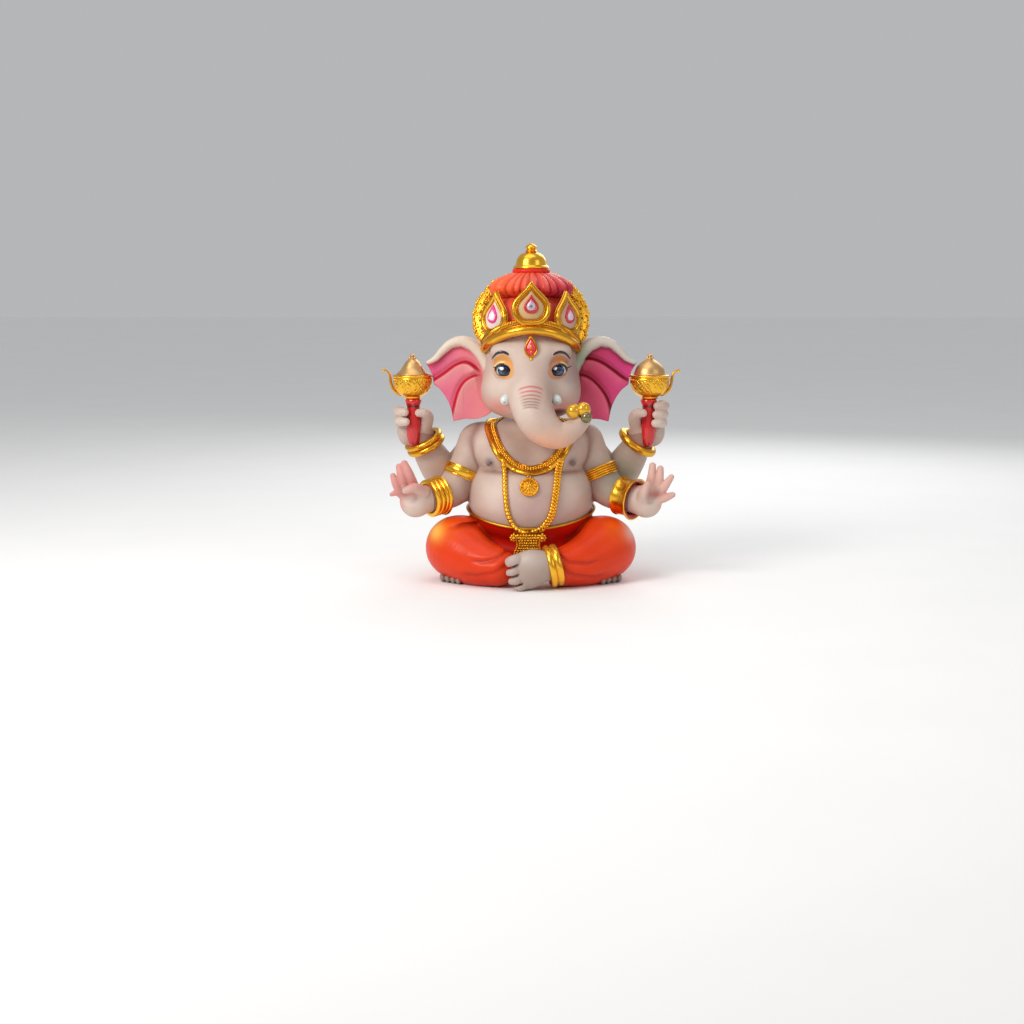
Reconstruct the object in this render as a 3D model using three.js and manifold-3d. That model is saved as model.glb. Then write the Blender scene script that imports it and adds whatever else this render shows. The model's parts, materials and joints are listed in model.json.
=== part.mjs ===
// A seated, four-armed Ganesha idol, built as a bench assembly of cast pieces on dowels.
// Millimetres, +Z up. The idol faces -Y, and its own left hand side is +X.
// The origin is the middle of the felt pad that it rests on.
import * as THREE from "three";
import { mergeVertices } from "three/addons/utils/BufferGeometryUtils.js";
import Module from "manifold-3d";

const wasm = await Module();
wasm.setup();

// ---- Driving dimensions ----
const GAP = 0.3; // clearance left all round a piece by the pieces fitted to it
const SIDES = [
  ["right", -1],
  ["left", 1],
];

const BELLY = { at: [0, -1, 38], radii: [31, 28, 24] };
const UPPER_BELLY = { at: [0, 0.5, 46.5], radii: [29.8, 25, 15.5] };
const CHEST = { at: [0, 1, 59], radii: [27.5, 23, 17] };
const BREAST = { at: [13.5, -12, 60], radii: [12.5, 13, 9.5] };
const NECK = { radius: 12, bottom: 66, top: 84 };
const SEAT = { at: [0, 6, 13], radii: [33, 27, 20] };
const WAIST = { front: 27, side: 34, back: 36 }; // height of the dhoti's hem round the belly
const PAD = { radii: [26, 19], thickness: 2, y: 2 };

const SKULL = { at: [0, 1, 105], radii: [23.8, 23.5, 26] };
const CHEEK = { at: [13, -7.5, 92], radii: [11.5, 13.5, 11.5] };
const EYE = { at: [13.4, -18.2, 103.8], radii: [4.4, 3.4, 3.6] };
const TUSK = { at: [12.3, -22, 89.5], radius: 2.6, length: 6 };
const EAR = { root: 19, lift: -1.5, thickness: 3 };

const BAND = { rx: 24.4, ry: 25.6, y: 0, front: 124.8, side: 111.5, back: 112, tube: 2.9 };
const TURBAN = { y: 1, dome: [22, 22.5, 19], domeZ: 124.5 };
const ROLL = { radius: 20.8, half: 7.4, z: 144.2 };
const FINIAL_BASE = 153.4;
const HALO = { at: [0, 15, 127], radii: [28.5, 25.5], width: 7.5, thickness: 3.4, lean: 0.36 };
const PLAQUE = { height: 21, width: 19, thickness: 2.2, base: 126 };

const LAMP = { x: 58.6, y: 0, gripBottom: 64.6, gripTop: 89, bowlRadius: 9.4, rim: 100.2, span: 73 };

// ---- From three.js geometry to solids ----

// A closed geometry as a solid, with its shared vertices merged and its faces pointing out.
function solid(geometry) {
  const bare = geometry.clone();
  ["normal", "uv"].forEach((name) => bare.deleteAttribute(name));
  const merged = mergeVertices(bare, 1e-4);
  const source = merged.index.array;
  const corners = [];
  for (let i = 0; i < source.length; i += 3) {
    const [a, b, c] = [source[i], source[i + 1], source[i + 2]];
    if (a !== b && b !== c && c !== a) corners.push(a, b, c);
  }
  const build = (list) =>
    new wasm.Manifold(
      new wasm.Mesh({
        numProp: 3,
        vertProperties: new Float32Array(merged.attributes.position.array),
        triVerts: new Uint32Array(list),
      }),
    );
  const made = build(corners);
  return made.volume() > 0 ? made : build(corners.reverse());
}

const join = (...parts) => parts.reduce((a, b) => a.add(b));

// The largest body of a solid, because fitting can leave slivers.
function largest(part) {
  return part.decompose().reduce((a, b) => (b.volume() > a.volume() ? b : a));
}

function toGeometry(part) {
  const mesh = part.getMesh();
  const vertices = new Float32Array(mesh.numVert * 3);
  for (let i = 0; i < mesh.numVert; i++) {
    vertices.set(mesh.vertProperties.subarray(i * mesh.numProp, i * mesh.numProp + 3), i * 3);
  }
  return new THREE.BufferGeometry()
    .setAttribute("position", new THREE.BufferAttribute(vertices, 3))
    .setIndex(new THREE.BufferAttribute(new Uint32Array(mesh.triVerts), 1));
}

// ---- Shapes, each of which can be asked for a little larger, by grow ----

// The axis that lathes and cylinders are made about.
const UP = new THREE.Vector3(0, 1, 0);

function ellipsoid({ at, radii }, grow = 0, segments = 12) {
  const g = new THREE.SphereGeometry(1, segments, Math.round(segments * 0.6));
  g.rotateX(Math.PI / 2);
  g.scale(radii[0] + grow, radii[1] + grow, radii[2] + grow);
  return solid(g.translate(...at));
}

// The same ellipsoid on one side of the middle plane.
const sided = ({ at, radii }, side) => ({ at: [side * at[0], at[1], at[2]], radii });

// Frames carried along a line of points without twisting.
function framesAlong(points) {
  const last = points.length - 1;
  const tangents = points.map((_, i) =>
    points[Math.min(i + 1, last)].clone().sub(points[Math.max(i - 1, 0)]).normalize(),
  );
  const steep = Math.abs(tangents[0].z) > 0.9;
  let normal = steep ? new THREE.Vector3(1, 0, 0) : new THREE.Vector3(0, 0, 1);
  return tangents.map((tangent) => {
    normal = normal.clone().addScaledVector(tangent, -normal.dot(tangent)).normalize();
    return { tangent, normal, binormal: normal.clone().cross(tangent) };
  });
}

// A round-ended limb through stations [x, y, z, radius]: a lathe profile laid along a smooth curve.
function limb(stations, grow = 0, sides = 10, steps = 6, capRings = 2) {
  const line = new THREE.CatmullRomCurve3(stations.map(([x, y, z]) => new THREE.Vector3(x, y, z)));
  const girth = new THREE.CatmullRomCurve3(stations.map(([, , , r]) => new THREE.Vector3(r, 0, 0)));
  const points = Array.from({ length: steps + 1 }, (_, i) => line.getPoint(i / steps));
  const frames = framesAlong(points);
  const body = points.map((centre, i) => {
    const radius = girth.getPoint(i / steps).x + grow;
    return { centre, radius, frame: frames[i] };
  });
  const cap = (end, direction) =>
    Array.from({ length: capRings }, (_, k) => {
      const angle = ((k / capRings) * Math.PI) / 2;
      const out = direction * end.radius * Math.cos(angle);
      const centre = end.centre.clone().addScaledVector(end.frame.tangent, out);
      return { centre, radius: end.radius * Math.sin(angle), frame: end.frame };
    });
  const rings = [...cap(body[0], -1), ...body, ...cap(body[steps], 1).reverse()];
  const profile = rings.map((ring, j) => new THREE.Vector2(ring.radius > 1e-6 ? 1 : 0, j));
  const g = new THREE.LatheGeometry(profile, sides);
  const place = g.attributes.position;
  for (let i = 0; i < place.count; i++) {
    const { centre, radius, frame } = rings[Math.round(place.getY(i))];
    const p = centre
      .clone()
      .addScaledVector(frame.normal, place.getX(i) * radius)
      .addScaledVector(frame.binormal, place.getZ(i) * radius);
    place.setXYZ(i, p.x, p.y, p.z);
  }
  return solid(g);
}

// A tube through the points: open with flat ends, or a closed loop.
function tube(points, closed, radius, sides, steps) {
  const section = new THREE.Shape().absarc(0, 0, radius, 0, 2 * Math.PI);
  const extrudePath = new THREE.CatmullRomCurve3(points, closed);
  const options = { steps, curveSegments: sides / 2, extrudePath, bevelEnabled: false };
  return solid(new THREE.ExtrudeGeometry(section, options));
}
const loop = (points, radius, sides = 6, steps = 28) => tube(points, true, radius, sides, steps);
const strand = (points, radius, sides = 6, steps = 16) => tube(points, false, radius, sides, steps);

// A turned piece about a vertical axis through (x, y), from [radius, height] pairs.
function turned(profile, x, y, grow = 0, sides = 14) {
  const [low, high] = [profile[0][1], profile.at(-1)[1]];
  const points = profile.map(([r, z]) => {
    const height = z === low ? z - grow : z === high ? z + grow : z;
    return new THREE.Vector2(r > 0 ? r + grow : 0, height);
  });
  const g = new THREE.LatheGeometry(points, sides);
  g.rotateX(Math.PI / 2);
  return solid(g.translate(x, y, 0));
}

// A ring about an axis, turned from a closed outline of [radius, distance along the axis] pairs.
function band(centre, axis, outline, grow = 0, sides = 14) {
  const middle = outline.reduce((sum, [r]) => sum + r, 0) / outline.length;
  const points = outline.map(
    ([r, t]) => new THREE.Vector2(r + Math.sign(r - middle) * grow, t + Math.sign(t) * grow),
  );
  const g = new THREE.LatheGeometry([...points, points[0].clone()], sides);
  const along = new THREE.Vector3(...axis).normalize();
  g.applyQuaternion(new THREE.Quaternion().setFromUnitVectors(UP, along));
  return solid(g.translate(...centre));
}

// The outline of a ring with some rounded ridges side by side.
function ridged(inner, ridges, ridgeWidth, height) {
  const half = (ridges * ridgeWidth) / 2;
  const crest = Array.from({ length: ridges }, (_, i) => {
    const start = -half + i * ridgeWidth;
    const top = inner + height;
    return [
      [inner + height * 0.5, start],
      [top, start + ridgeWidth * 0.3],
      [top, start + ridgeWidth * 0.7],
    ];
  }).flat();
  return [[inner, -half], ...crest, [inner + height * 0.5, half], [inner, half]];
}

// A straight round pin between two points.
function pin(from, to, radius, grow = 0) {
  const [a, b] = [new THREE.Vector3(...from), new THREE.Vector3(...to)];
  const along = b.clone().sub(a);
  const g = new THREE.CylinderGeometry(radius + grow, radius + grow, along.length() + 2 * grow, 12);
  g.applyQuaternion(new THREE.Quaternion().setFromUnitVectors(UP, along.normalize()));
  return solid(g.translate(...a.add(b).multiplyScalar(0.5).toArray()));
}

// A flat plate with a softened edge, whose outline is drawn in its own plane and then placed.
function plate(shape, thickness, matrix, grow = 0, curveSegments = 4) {
  const g = new THREE.ExtrudeGeometry(shape, {
    depth: thickness,
    curveSegments,
    bevelEnabled: grow > 0,
    bevelSize: grow,
    bevelThickness: grow,
    bevelSegments: 1,
  });
  return solid(g.applyMatrix4(matrix));
}

// A plane that stands upright at a point and faces along yaw, leaning back by lean.
function upright(x, y, z, yaw = 0, lean = 0) {
  const turn = new THREE.Euler(Math.PI / 2 - lean, 0, yaw, "ZYX");
  return new THREE.Matrix4().makeRotationFromEuler(turn).setPosition(x, y, z);
}

// ---- Where ornaments lie on the body ----

// The depth of the front surface of some ellipsoids at (x, z).
function frontOf(bodies, x, z) {
  const depths = bodies.map(({ at, radii }) => {
    const inside = 1 - ((x - at[0]) / radii[0]) ** 2 - ((z - at[2]) / radii[2]) ** 2;
    return inside > 0 ? at[1] - radii[1] * Math.sqrt(inside) : 0;
  });
  return Math.min(...depths);
}
const TRUNK_OF_BODY = [BELLY, CHEST, sided(BREAST, 1), sided(BREAST, -1)];
const onBody = (x, z, proud = 0) => new THREE.Vector3(x, frontOf(TRUNK_OF_BODY, x, z) - proud, z);

// Round the belly at the dhoti's hem: 0 is the front, half a turn the back.
function hemPoint(angle, proud) {
  const frontness = (1 + Math.cos(angle)) / 2;
  const sideness = Math.sin(angle) ** 2;
  const base = WAIST.back + (WAIST.front - WAIST.back) * frontness;
  const z = base + (WAIST.side - (WAIST.front + WAIST.back) / 2) * sideness;
  const shrink = Math.sqrt(1 - ((z - BELLY.at[2]) / BELLY.radii[2]) ** 2);
  return new THREE.Vector3(
    Math.sin(angle) * (BELLY.radii[0] * shrink + proud),
    BELLY.at[1] - Math.cos(angle) * (BELLY.radii[1] * shrink + proud),
    z,
  );
}

// Round the crown's band, which arches over the forehead.
function bandPoint(angle) {
  const frontness = Math.max(0, Math.cos(angle)) ** 1.3;
  const backness = Math.max(0, -Math.cos(angle));
  return new THREE.Vector3(
    BAND.rx * Math.sin(angle),
    BAND.y - BAND.ry * Math.cos(angle) * (1 - 0.04 * frontness),
    BAND.side + (BAND.front - BAND.side) * frontness + (BAND.back - BAND.side) * backness,
  );
}
function roundTrip(count, pointAt) {
  return Array.from({ length: count }, (_, i) => pointAt((2 * Math.PI * i) / count));
}

// ---- Limbs: stations of x, y, z and radius, given for the +X side ----
const FRONT_ARM = [
  [27, 4, 66.5, 9.6],
  [32.2, -0.5, 55.5, 8.4],
  [37, -3, 45.6, 8.9],
  [43, -8.5, 42, 8],
  [48.8, -13, 40.6, 6.6],
];
const REAR_ARM = [
  [26, 10, 66, 9],
  [35, 12, 54, 8.2],
  [43, 11, 48, 8.4],
  [49, 8, 57, 8.4],
  [54.5, 5, 66.5, 6.4],
];
const THIGH = [
  [11, 8, 13.5, 12],
  [26.5, -3, 14.8, 14.2],
  [37, -14, 16, 15.2],
  [27, -27, 11.5, 12.6],
  [15.5, -36, 9.5, 9],
];
const TRUNK = [
  [0, -12, 107, 9],
  [0, -21, 98, 9.6],
  [0, -29, 88.5, 10.2],
  [5, -35, 78.5, 8.6],
  [13.5, -37, 74, 6.4],
  [21, -37, 77.5, 4.7],
  [25, -36.5, 81.5, 4],
];
const HANDS = {
  right: {
    palm: { at: [-57.4, -17.8, 39.4], radii: [7.6, 5.2, 7.9] },
    fingers: [
      [[-58, -19, 46, 2.6], [-62, -20, 58.2, 1.8]],
      [[-61.5, -18.8, 44.5, 2.6], [-66.3, -20.5, 56.6, 1.7]],
      [[-63.5, -19, 42.5, 2.4], [-69.2, -21, 51.8, 1.4]],
      [[-62.5, -19.5, 40.5, 2.2], [-69.6, -21.2, 42, 1.2]],
      [[-53.5, -21, 43.5, 3], [-62.4, -26, 45, 1.8]],
    ],
  },
  left: {
    palm: { at: [57.2, -17.8, 39.4], radii: [7.6, 5.2, 7.9] },
    fingers: [
      [[58.2, -18.5, 45, 2.6], [59.6, -20, 57.4, 1.7]],
      [[61.6, -18.8, 45, 2.4], [63.4, -20.3, 56, 1.6]],
      [[62.6, -19, 43, 2.4], [68.8, -21, 52, 1.4]],
      [[61, -19.5, 40.4, 2.5], [69.4, -21.4, 43.2, 1.5]],
      [[54.4, -20.5, 40, 3], [57, -25.8, 49, 1.9]],
    ],
  },
};

// Stations mirrored to one side.
const onSide = (stations, side) => stations.map(([x, y, z, r]) => [side * x, y, z, r]);

// Point and direction part of the way along a limb.
function along(stations, share) {
  const line = new THREE.CatmullRomCurve3(stations.map(([x, y, z]) => new THREE.Vector3(x, y, z)));
  return { centre: line.getPoint(share).toArray(), axis: line.getTangent(share).toArray() };
}

// ---- The pieces ----
// Order matters: a piece is cut back, by the gap, from every piece before it.
const pieces = [];
const SKIN = { color: 0xc9b2a6, roughness: 0.6, metalness: 0 };
const GOLD = { color: 0xe0a52a, roughness: 0.28, metalness: 0.9 };
const ORANGE = { color: 0xf0561a, roughness: 0.5, metalness: 0 };
const RED = { color: 0xd02416, roughness: 0.4, metalness: 0 };
const PINK = { color: 0xe0607c, roughness: 0.55, metalness: 0 };
const IVORY = { color: 0xdfe8e2, roughness: 0.3, metalness: 0 };
const STEEL = { color: 0x9a9ca0, roughness: 0.35, metalness: 1 };
const FELT = { color: 0x2f3a33, roughness: 0.95, metalness: 0 };
const EYEBALL = { color: 0x2a4a78, roughness: 0.1, metalness: 0 };
const piece = (name, look, shape) => pieces.push({ name, look, shape });

// Steel dowels hold the castings together.
piece("neck_dowel", STEEL, (grow) => pin([0, 2, 70], [0, 2, 96], 3, grow));
piece("crown_dowel", STEEL, (grow) => pin([0, 2, 114], [0, 2, 150], 2, grow));
piece("front_arm_dowel", STEEL, (grow) => pin([-33, 2, 64], [33, 2, 64], 1.5, grow));
piece("rear_arm_dowel", STEEL, (grow) => pin([-29, 10, 63], [29, 10, 63], 1.5, grow));

// The pad is glued into the underside of the seat.
piece("felt_pad", FELT, (grow) => {
  const outline = new THREE.Shape().absellipse(0, 0, ...PAD.radii, 0, 2 * Math.PI);
  return plate(outline, PAD.thickness, new THREE.Matrix4().makeTranslation(0, PAD.y, 0), grow, 16);
});

function torso(grow) {
  return join(
    ellipsoid(BELLY, grow, 16),
    ellipsoid(UPPER_BELLY, grow, 14),
    ellipsoid(CHEST, grow, 14),
    ellipsoid(sided(BREAST, 1), grow),
    ellipsoid(sided(BREAST, -1), grow),
    turned(
      [
        [0, NECK.bottom],
        [NECK.radius, NECK.bottom],
        [NECK.radius - 1, NECK.top],
        [0, NECK.top],
      ],
      0,
      2,
      grow,
      12,
    ),
  );
}
piece("torso", SKIN, torso);

// The seat holds the belly like a cup, and its hem follows the belly round.
const HEM_SHELL = 1.2;
piece("dhoti_seat", RED, (grow) => {
  const shell = ellipsoid({ at: BELLY.at, radii: BELLY.radii.map((r) => r + HEM_SHELL) }, grow, 18);
  const top = roundTrip(16, (angle) => hemPoint(angle, 0).z);
  const cutter = new THREE.CylinderGeometry(60, 60, 60, 16, 1).rotateX(Math.PI / 2).translate(0, 0, 30);
  const place = cutter.attributes.position;
  for (let i = 0; i < place.count; i++) {
    if (place.getZ(i) > 1) continue;
    const angle = Math.atan2(place.getX(i), -place.getY(i));
    const share = ((angle / (2 * Math.PI) + 1) % 1) * top.length;
    const middle = Math.hypot(place.getX(i), place.getY(i)) < 1;
    const height = middle ? (WAIST.front + WAIST.back) / 2 : top[Math.round(share) % top.length];
    place.setZ(i, height + grow);
  }
  return join(shell.subtract(solid(cutter)), ellipsoid(SEAT, grow, 16));
});

// Folded legs: thigh and shin in one casting each.
SIDES.forEach(([word, side]) => {
  piece(`dhoti_leg_${word}`, ORANGE, (grow) => limb(onSide(THIGH, side), grow, 14, 8, 2));
});

// The head, with cheeks, and its trunk as a separate casting.
piece("head", SKIN, (grow) =>
  join(ellipsoid(SKULL, grow, 16), ellipsoid(sided(CHEEK, 1), grow), ellipsoid(sided(CHEEK, -1), grow)),
);
piece("trunk", SKIN, (grow) => limb(TRUNK, grow, 12, 12, 2));

// Three sweets held by the trunk's tip.
piece("trunk_sweets", GOLD, (grow) =>
  join(
    ellipsoid({ at: [20.4, -37.5, 85.8], radii: [3.6, 3.4, 3.5] }, grow, 10),
    ellipsoid({ at: [25, -37.5, 86.6], radii: [3.4, 3.4, 3.4] }, grow, 10),
    ellipsoid({ at: [26.4, -39.5, 83], radii: [2.8, 2.8, 2.8] }, grow, 8),
  ),
);
SIDES.forEach(([word, side]) => {
  const [x, y, z] = TUSK.at;
  piece(`eye_${word}`, EYEBALL, (grow) => ellipsoid(sided(EYE, side), grow));
  const stations = [
    [side * (x - 1), y + 2, z + 1, TUSK.radius],
    [side * x, y - TUSK.length / 2, z - 0.9, TUSK.radius],
  ];
  piece(`tusk_${word}`, IVORY, (grow) => limb(stations, grow, 8, 1));
});

// The crown's band arches over the forehead.
piece("crown_band", GOLD, (grow) => loop(roundTrip(16, bandPoint), BAND.tube + grow, 8, 24));

// Ears: a leaf with a rounded top and three points, standing off the side of the head.
function earOutline() {
  const s = new THREE.Shape();
  s.moveTo(0, 27);
  s.bezierCurveTo(3, 33, 8, 37.5, 14.5, 37);
  s.bezierCurveTo(22, 36, 25, 26.5, 33, 24.5);
  s.quadraticCurveTo(28.5, 20, 29, 13.5);
  s.quadraticCurveTo(22.5, 7.5, 18.5, -4.5);
  s.quadraticCurveTo(11, -2, 3, -3);
  s.lineTo(-2, 4);
  s.lineTo(-4, 20);
  s.closePath();
  return s;
}
SIDES.forEach(([word, side]) => {
  piece(`ear_${word}`, PINK, (grow) => {
    const stand = upright(side * EAR.root, EAR.lift, 82, 0);
    const mirror = new THREE.Matrix4().makeScale(side, 1, 1);
    return plate(earOutline(), EAR.thickness, stand.multiply(mirror), grow, 4);
  });
});

// A turban of a dome and a pleated roll, and the crown's finial.
piece("turban_dome", RED, (grow) =>
  ellipsoid({ at: [0, TURBAN.y, TURBAN.domeZ], radii: TURBAN.dome }, grow, 16),
);
piece("turban_roll", ORANGE, (grow) =>
  turned(
    [
      [0, ROLL.z - ROLL.half],
      [ROLL.radius * 0.7, ROLL.z - ROLL.half],
      [ROLL.radius * 0.95, ROLL.z - ROLL.half * 0.5],
      [ROLL.radius, ROLL.z],
      [ROLL.radius * 0.93, ROLL.z + ROLL.half * 0.5],
      [ROLL.radius * 0.7, ROLL.z + ROLL.half * 0.85],
      [8.6, ROLL.z + ROLL.half],
      [8.6, FINIAL_BASE - 2 * GAP],
      [0, FINIAL_BASE - 2 * GAP],
    ],
    0,
    TURBAN.y + 1,
    grow,
    22,
  ),
);
piece("crown_finial", GOLD, (grow) =>
  turned(
    [
      [0, FINIAL_BASE],
      [8.9, FINIAL_BASE],
      [7.4, FINIAL_BASE + 1.4],
      [6.6, FINIAL_BASE + 4.2],
      [4.4, FINIAL_BASE + 6.6],
      [2.2, FINIAL_BASE + 7.4],
      [2.9, FINIAL_BASE + 8.4],
      [2.5, FINIAL_BASE + 10],
      [0, FINIAL_BASE + 12.3],
    ],
    0,
    TURBAN.y + 1,
    grow,
  ),
);

// A pointed leaf, drawn from its foot.
function leaf(width, height) {
  const s = new THREE.Shape();
  s.moveTo(-width * 0.24, 0);
  s.bezierCurveTo(-width * 0.62, height * 0.28, -width * 0.56, height * 0.6, 0, height);
  s.bezierCurveTo(width * 0.56, height * 0.6, width * 0.62, height * 0.28, width * 0.24, 0);
  s.closePath();
  return s;
}
function drop(width, height) {
  const s = new THREE.Shape();
  s.moveTo(0, height);
  s.bezierCurveTo(-width * 0.2, height * 0.7, -width * 0.5, height * 0.55, -width * 0.5, height * 0.32);
  s.absarc(0, height * 0.32, width * 0.5, Math.PI, 2 * Math.PI, false);
  s.bezierCurveTo(width * 0.5, height * 0.55, width * 0.2, height * 0.7, 0, height);
  return s;
}
const PLAQUES = [
  { word: "front", yaw: 0, radius: 25.6, base: PLAQUE.base, scale: 1, lean: 0.2 },
  { word: "right", yaw: -0.86, radius: 24, base: PLAQUE.base - 4, scale: 0.95, lean: 0.12 },
  { word: "left", yaw: 0.86, radius: 24, base: PLAQUE.base - 4, scale: 0.95, lean: 0.12 },
];
PLAQUES.forEach(({ word, yaw, radius, base, scale, lean }) => {
  const placed = (out, up) => {
    const reach = radius + out;
    return upright(Math.sin(yaw) * reach, TURBAN.y - Math.cos(yaw) * reach, base + up, yaw, lean);
  };
  const raise = 6 * scale;
  piece(`crown_gem_${word}`, RED, (grow) =>
    plate(drop(6.6 * scale, 9 * scale), 1.6, placed(1.4 - raise * lean, raise), grow),
  );
  piece(`crown_plaque_${word}`, GOLD, (grow) =>
    plate(leaf(PLAQUE.width * scale, PLAQUE.height * scale), PLAQUE.thickness, placed(0, 0), grow),
  );
});
piece("crown_halo", GOLD, (grow) => {
  const [rx, rz] = HALO.radii;
  const outline = new THREE.Shape().absellipse(0, 0, rx, rz, 0, 2 * Math.PI);
  outline.holes.push(new THREE.Path().absellipse(0, 0, rx - HALO.width, rz - HALO.width, 0, 2 * Math.PI));
  return plate(outline, HALO.thickness, upright(...HALO.at, 0, HALO.lean), grow, 12);
});
piece("forehead_jewel", RED, (grow) => {
  const hanging = upright(0, -21.6, 122.4, Math.PI).multiply(new THREE.Matrix4().makeRotationX(Math.PI));
  return plate(leaf(6, 12), 2.2, hanging, grow);
});

// Arms, with their armlets, bangles and hands.
// A bangle part of the way along a limb.
function bangle(stations, share, outline) {
  const { centre, axis } = along(stations, share);
  return (grow) => band(centre, axis, outline, grow);
}
SIDES.forEach(([word, side]) => {
  const [front, rear] = [onSide(FRONT_ARM, side), onSide(REAR_ARM, side)];
  const hand = HANDS[word];
  // The left wrists wear one plain cuff each, and the right ones stacked bangles.
  const [frontWrist, rearWrist] =
    word === "left"
      ? [ridged(7, 1, 8.6, 2.8), ridged(6.6, 1, 3.6, 3.4)]
      : [ridged(7, 3, 3.2, 2.8), ridged(6.6, 2, 2.4, 3.4)];
  piece(`front_arm_${word}`, SKIN, (grow) => limb(front, grow));
  piece(`rear_arm_${word}`, SKIN, (grow) => limb(rear, grow));
  piece(`front_hand_${word}`, SKIN, (grow) =>
    join(ellipsoid(hand.palm, grow), ...hand.fingers.map((finger) => limb(finger, grow, 6, 1))),
  );
  piece(`armlet_${word}`, GOLD, bangle(front, 0.36, ridged(7.6, 1, 5.7, 1.6)));
  piece(`front_bangle_${word}`, GOLD, bangle(front, 0.97, frontWrist));
  piece(`rear_bangle_${word}`, GOLD, (grow) =>
    band([side * 53.5, 4.8, 66.4], [side * 0.5, -0.25, 0.87], rearWrist, grow),
  );
});

// Lamps: a red grip through the fist, a gold bowl, a domed lid and a curled spout.
SIDES.forEach(([word, side]) => {
  const { x, y, gripBottom, gripTop, bowlRadius, rim, span } = LAMP;
  const bowlX = side * (x + 0.4);
  piece(`lamp_grip_${word}`, RED, (grow) =>
    turned(
      [
        [0, gripBottom],
        [2, gripBottom + 0.4],
        [3, gripBottom + 4],
        [3.4, gripBottom + 9],
        [2.7, gripBottom + 15],
        [2.8, gripBottom + 19],
        [4, gripBottom + 21.4],
        [3.9, gripTop - 0.4],
        [0, gripTop - 0.4],
      ],
      side * x,
      y,
      grow,
      10,
    ),
  );
  piece(`lamp_bowl_${word}`, GOLD, (grow) =>
    turned(
      [
        [0, gripTop],
        [3.6, gripTop],
        [6.6, gripTop + 1.6],
        [8.8, gripTop + 4.8],
        [bowlRadius, gripTop + 8.4],
        [bowlRadius, rim],
        [0, rim],
      ],
      bowlX,
      y,
      grow,
    ),
  );
  piece(`lamp_lid_${word}`, GOLD, (grow) =>
    turned(
      [
        [0, rim + GAP],
        [7.6, rim + GAP],
        [6.6, rim + 2.6],
        [4.6, rim + 5.6],
        [1.9, rim + 7.8],
        [0.9, rim + 8.4],
        [1, rim + 9.2],
        [0, rim + 11],
      ],
      bowlX,
      y,
      grow,
    ),
  );
  piece(`lamp_spout_${word}`, GOLD, (grow) =>
    strand(
      [
        [x + 5.6, 90.5],
        [x + 9.4, 93],
        [x + 11.4, 97],
        [x + 12, 100.5],
        [span - 0.4, 103],
      ].map(([px, pz]) => new THREE.Vector3(side * px, y, pz)),
      0.75 + grow,
      6,
      8,
    ),
  );
  // The fist: a palm behind the grip, three fingers across it and a thumb.
  piece(`rear_hand_${word}`, SKIN, (grow) =>
    join(
      ellipsoid({ at: [side * 57.6, 4.2, 75], radii: [7.6, 5, 8.2] }, grow),
      ...[79.6, 75.4, 71.2].map((z, i) =>
        limb(
          [
            [side * (65.4 - 0.5 * i), 3, z, 2.5],
            [side * (66.2 - 0.5 * i), -2.6, z + 0.4, 2.5],
            [side * (61.6 - 0.5 * i), -5.6, z + 0.8, 2.3],
          ],
          grow,
          6,
          2,
        ),
      ),
      limb(
        [
          [side * 52, 2, 76, 3],
          [side * 51.4, -3.6, 80, 2.7],
          [side * 56, -5.8, 81.4, 2.3],
        ],
        grow,
        6,
        2,
      ),
    ),
  );
});

// Feet: one crosses in front under an anklet, and toes show under each knee.
const FRONT_TOES = [15.4, 11.6, 8, 4.8, 2.4];
piece("front_foot", SKIN, (grow) =>
  join(
    ellipsoid({ at: [-1.5, -45.5, 9.6], radii: [10.5, 5.8, 8.8] }, grow),
    ...FRONT_TOES.map((z, i) => {
      const [root, tip] = [[-9 + i, -46, z, 2.2], [-11.6 + i * 1.7, -49.6, z, 2.3 - 0.15 * i]];
      return limb([root, tip], grow, 6, 1);
    }),
  ),
);
const ANKLE = { centre: [11.4, -40.2, 9.9], axis: [0.97, 0.14, 0.24] };
piece("anklet", GOLD, (grow) => band(ANKLE.centre, ANKLE.axis, ridged(8.2, 2, 3.2, 2.6), grow));
SIDES.forEach(([word, side]) => {
  piece(`tucked_toes_${word}`, SKIN, (grow) =>
    join(
      ...[0, 1, 2].map((i) => {
        const at = [side * (41.5 - 2.9 * i), -22 - 2.2 * i, 2.2];
        return ellipsoid({ at, radii: [1.9, 5, 2.2] }, grow, 8);
      }),
    ),
  );
});

// Jewellery on the body.
const COLLAR = [
  [0, 55.2],
  [-8, 57],
  [-14.4, 63],
  [-18.4, 70],
];
function collarPoints() {
  const front = COLLAR.map(([x, z]) => onBody(x, z, 0.6));
  const shoulder = [
    new THREE.Vector3(-20.4, -4, 76.5),
    new THREE.Vector3(-17, 5.5, 79),
    new THREE.Vector3(-9, 12, 77.4),
  ];
  const half = [...front, ...shoulder];
  const back = new THREE.Vector3(0, 14.4, 76);
  const mirrored = half.slice(1).map((p) => new THREE.Vector3(-p.x, p.y, p.z));
  return [...half, back, ...mirrored.reverse()];
}
piece("collar_necklace", GOLD, (grow) => loop(collarPoints(), 2.5 + grow, 6, 24));
const LONG_NECKLACE = [
  [-13.6, 60],
  [-12.8, 54],
  [-12.4, 44],
  [-11, 34.4],
  [-7.2, 27.6],
  [-0.6, 25],
  [5.6, 27.6],
  [10, 34],
  [12, 44],
  [13.2, 54],
  [14.4, 60],
];
piece("long_necklace", GOLD, (grow) =>
  strand(
    LONG_NECKLACE.map(([x, z]) => onBody(x, z, 1.3)),
    1.5 + grow,
    6,
    20,
  ),
);
piece("pendant", GOLD, (grow) =>
  ellipsoid({ at: onBody(-0.8, 47.6, 0.8).toArray(), radii: [4.4, 1.7, 4.4] }, grow),
);
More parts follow.
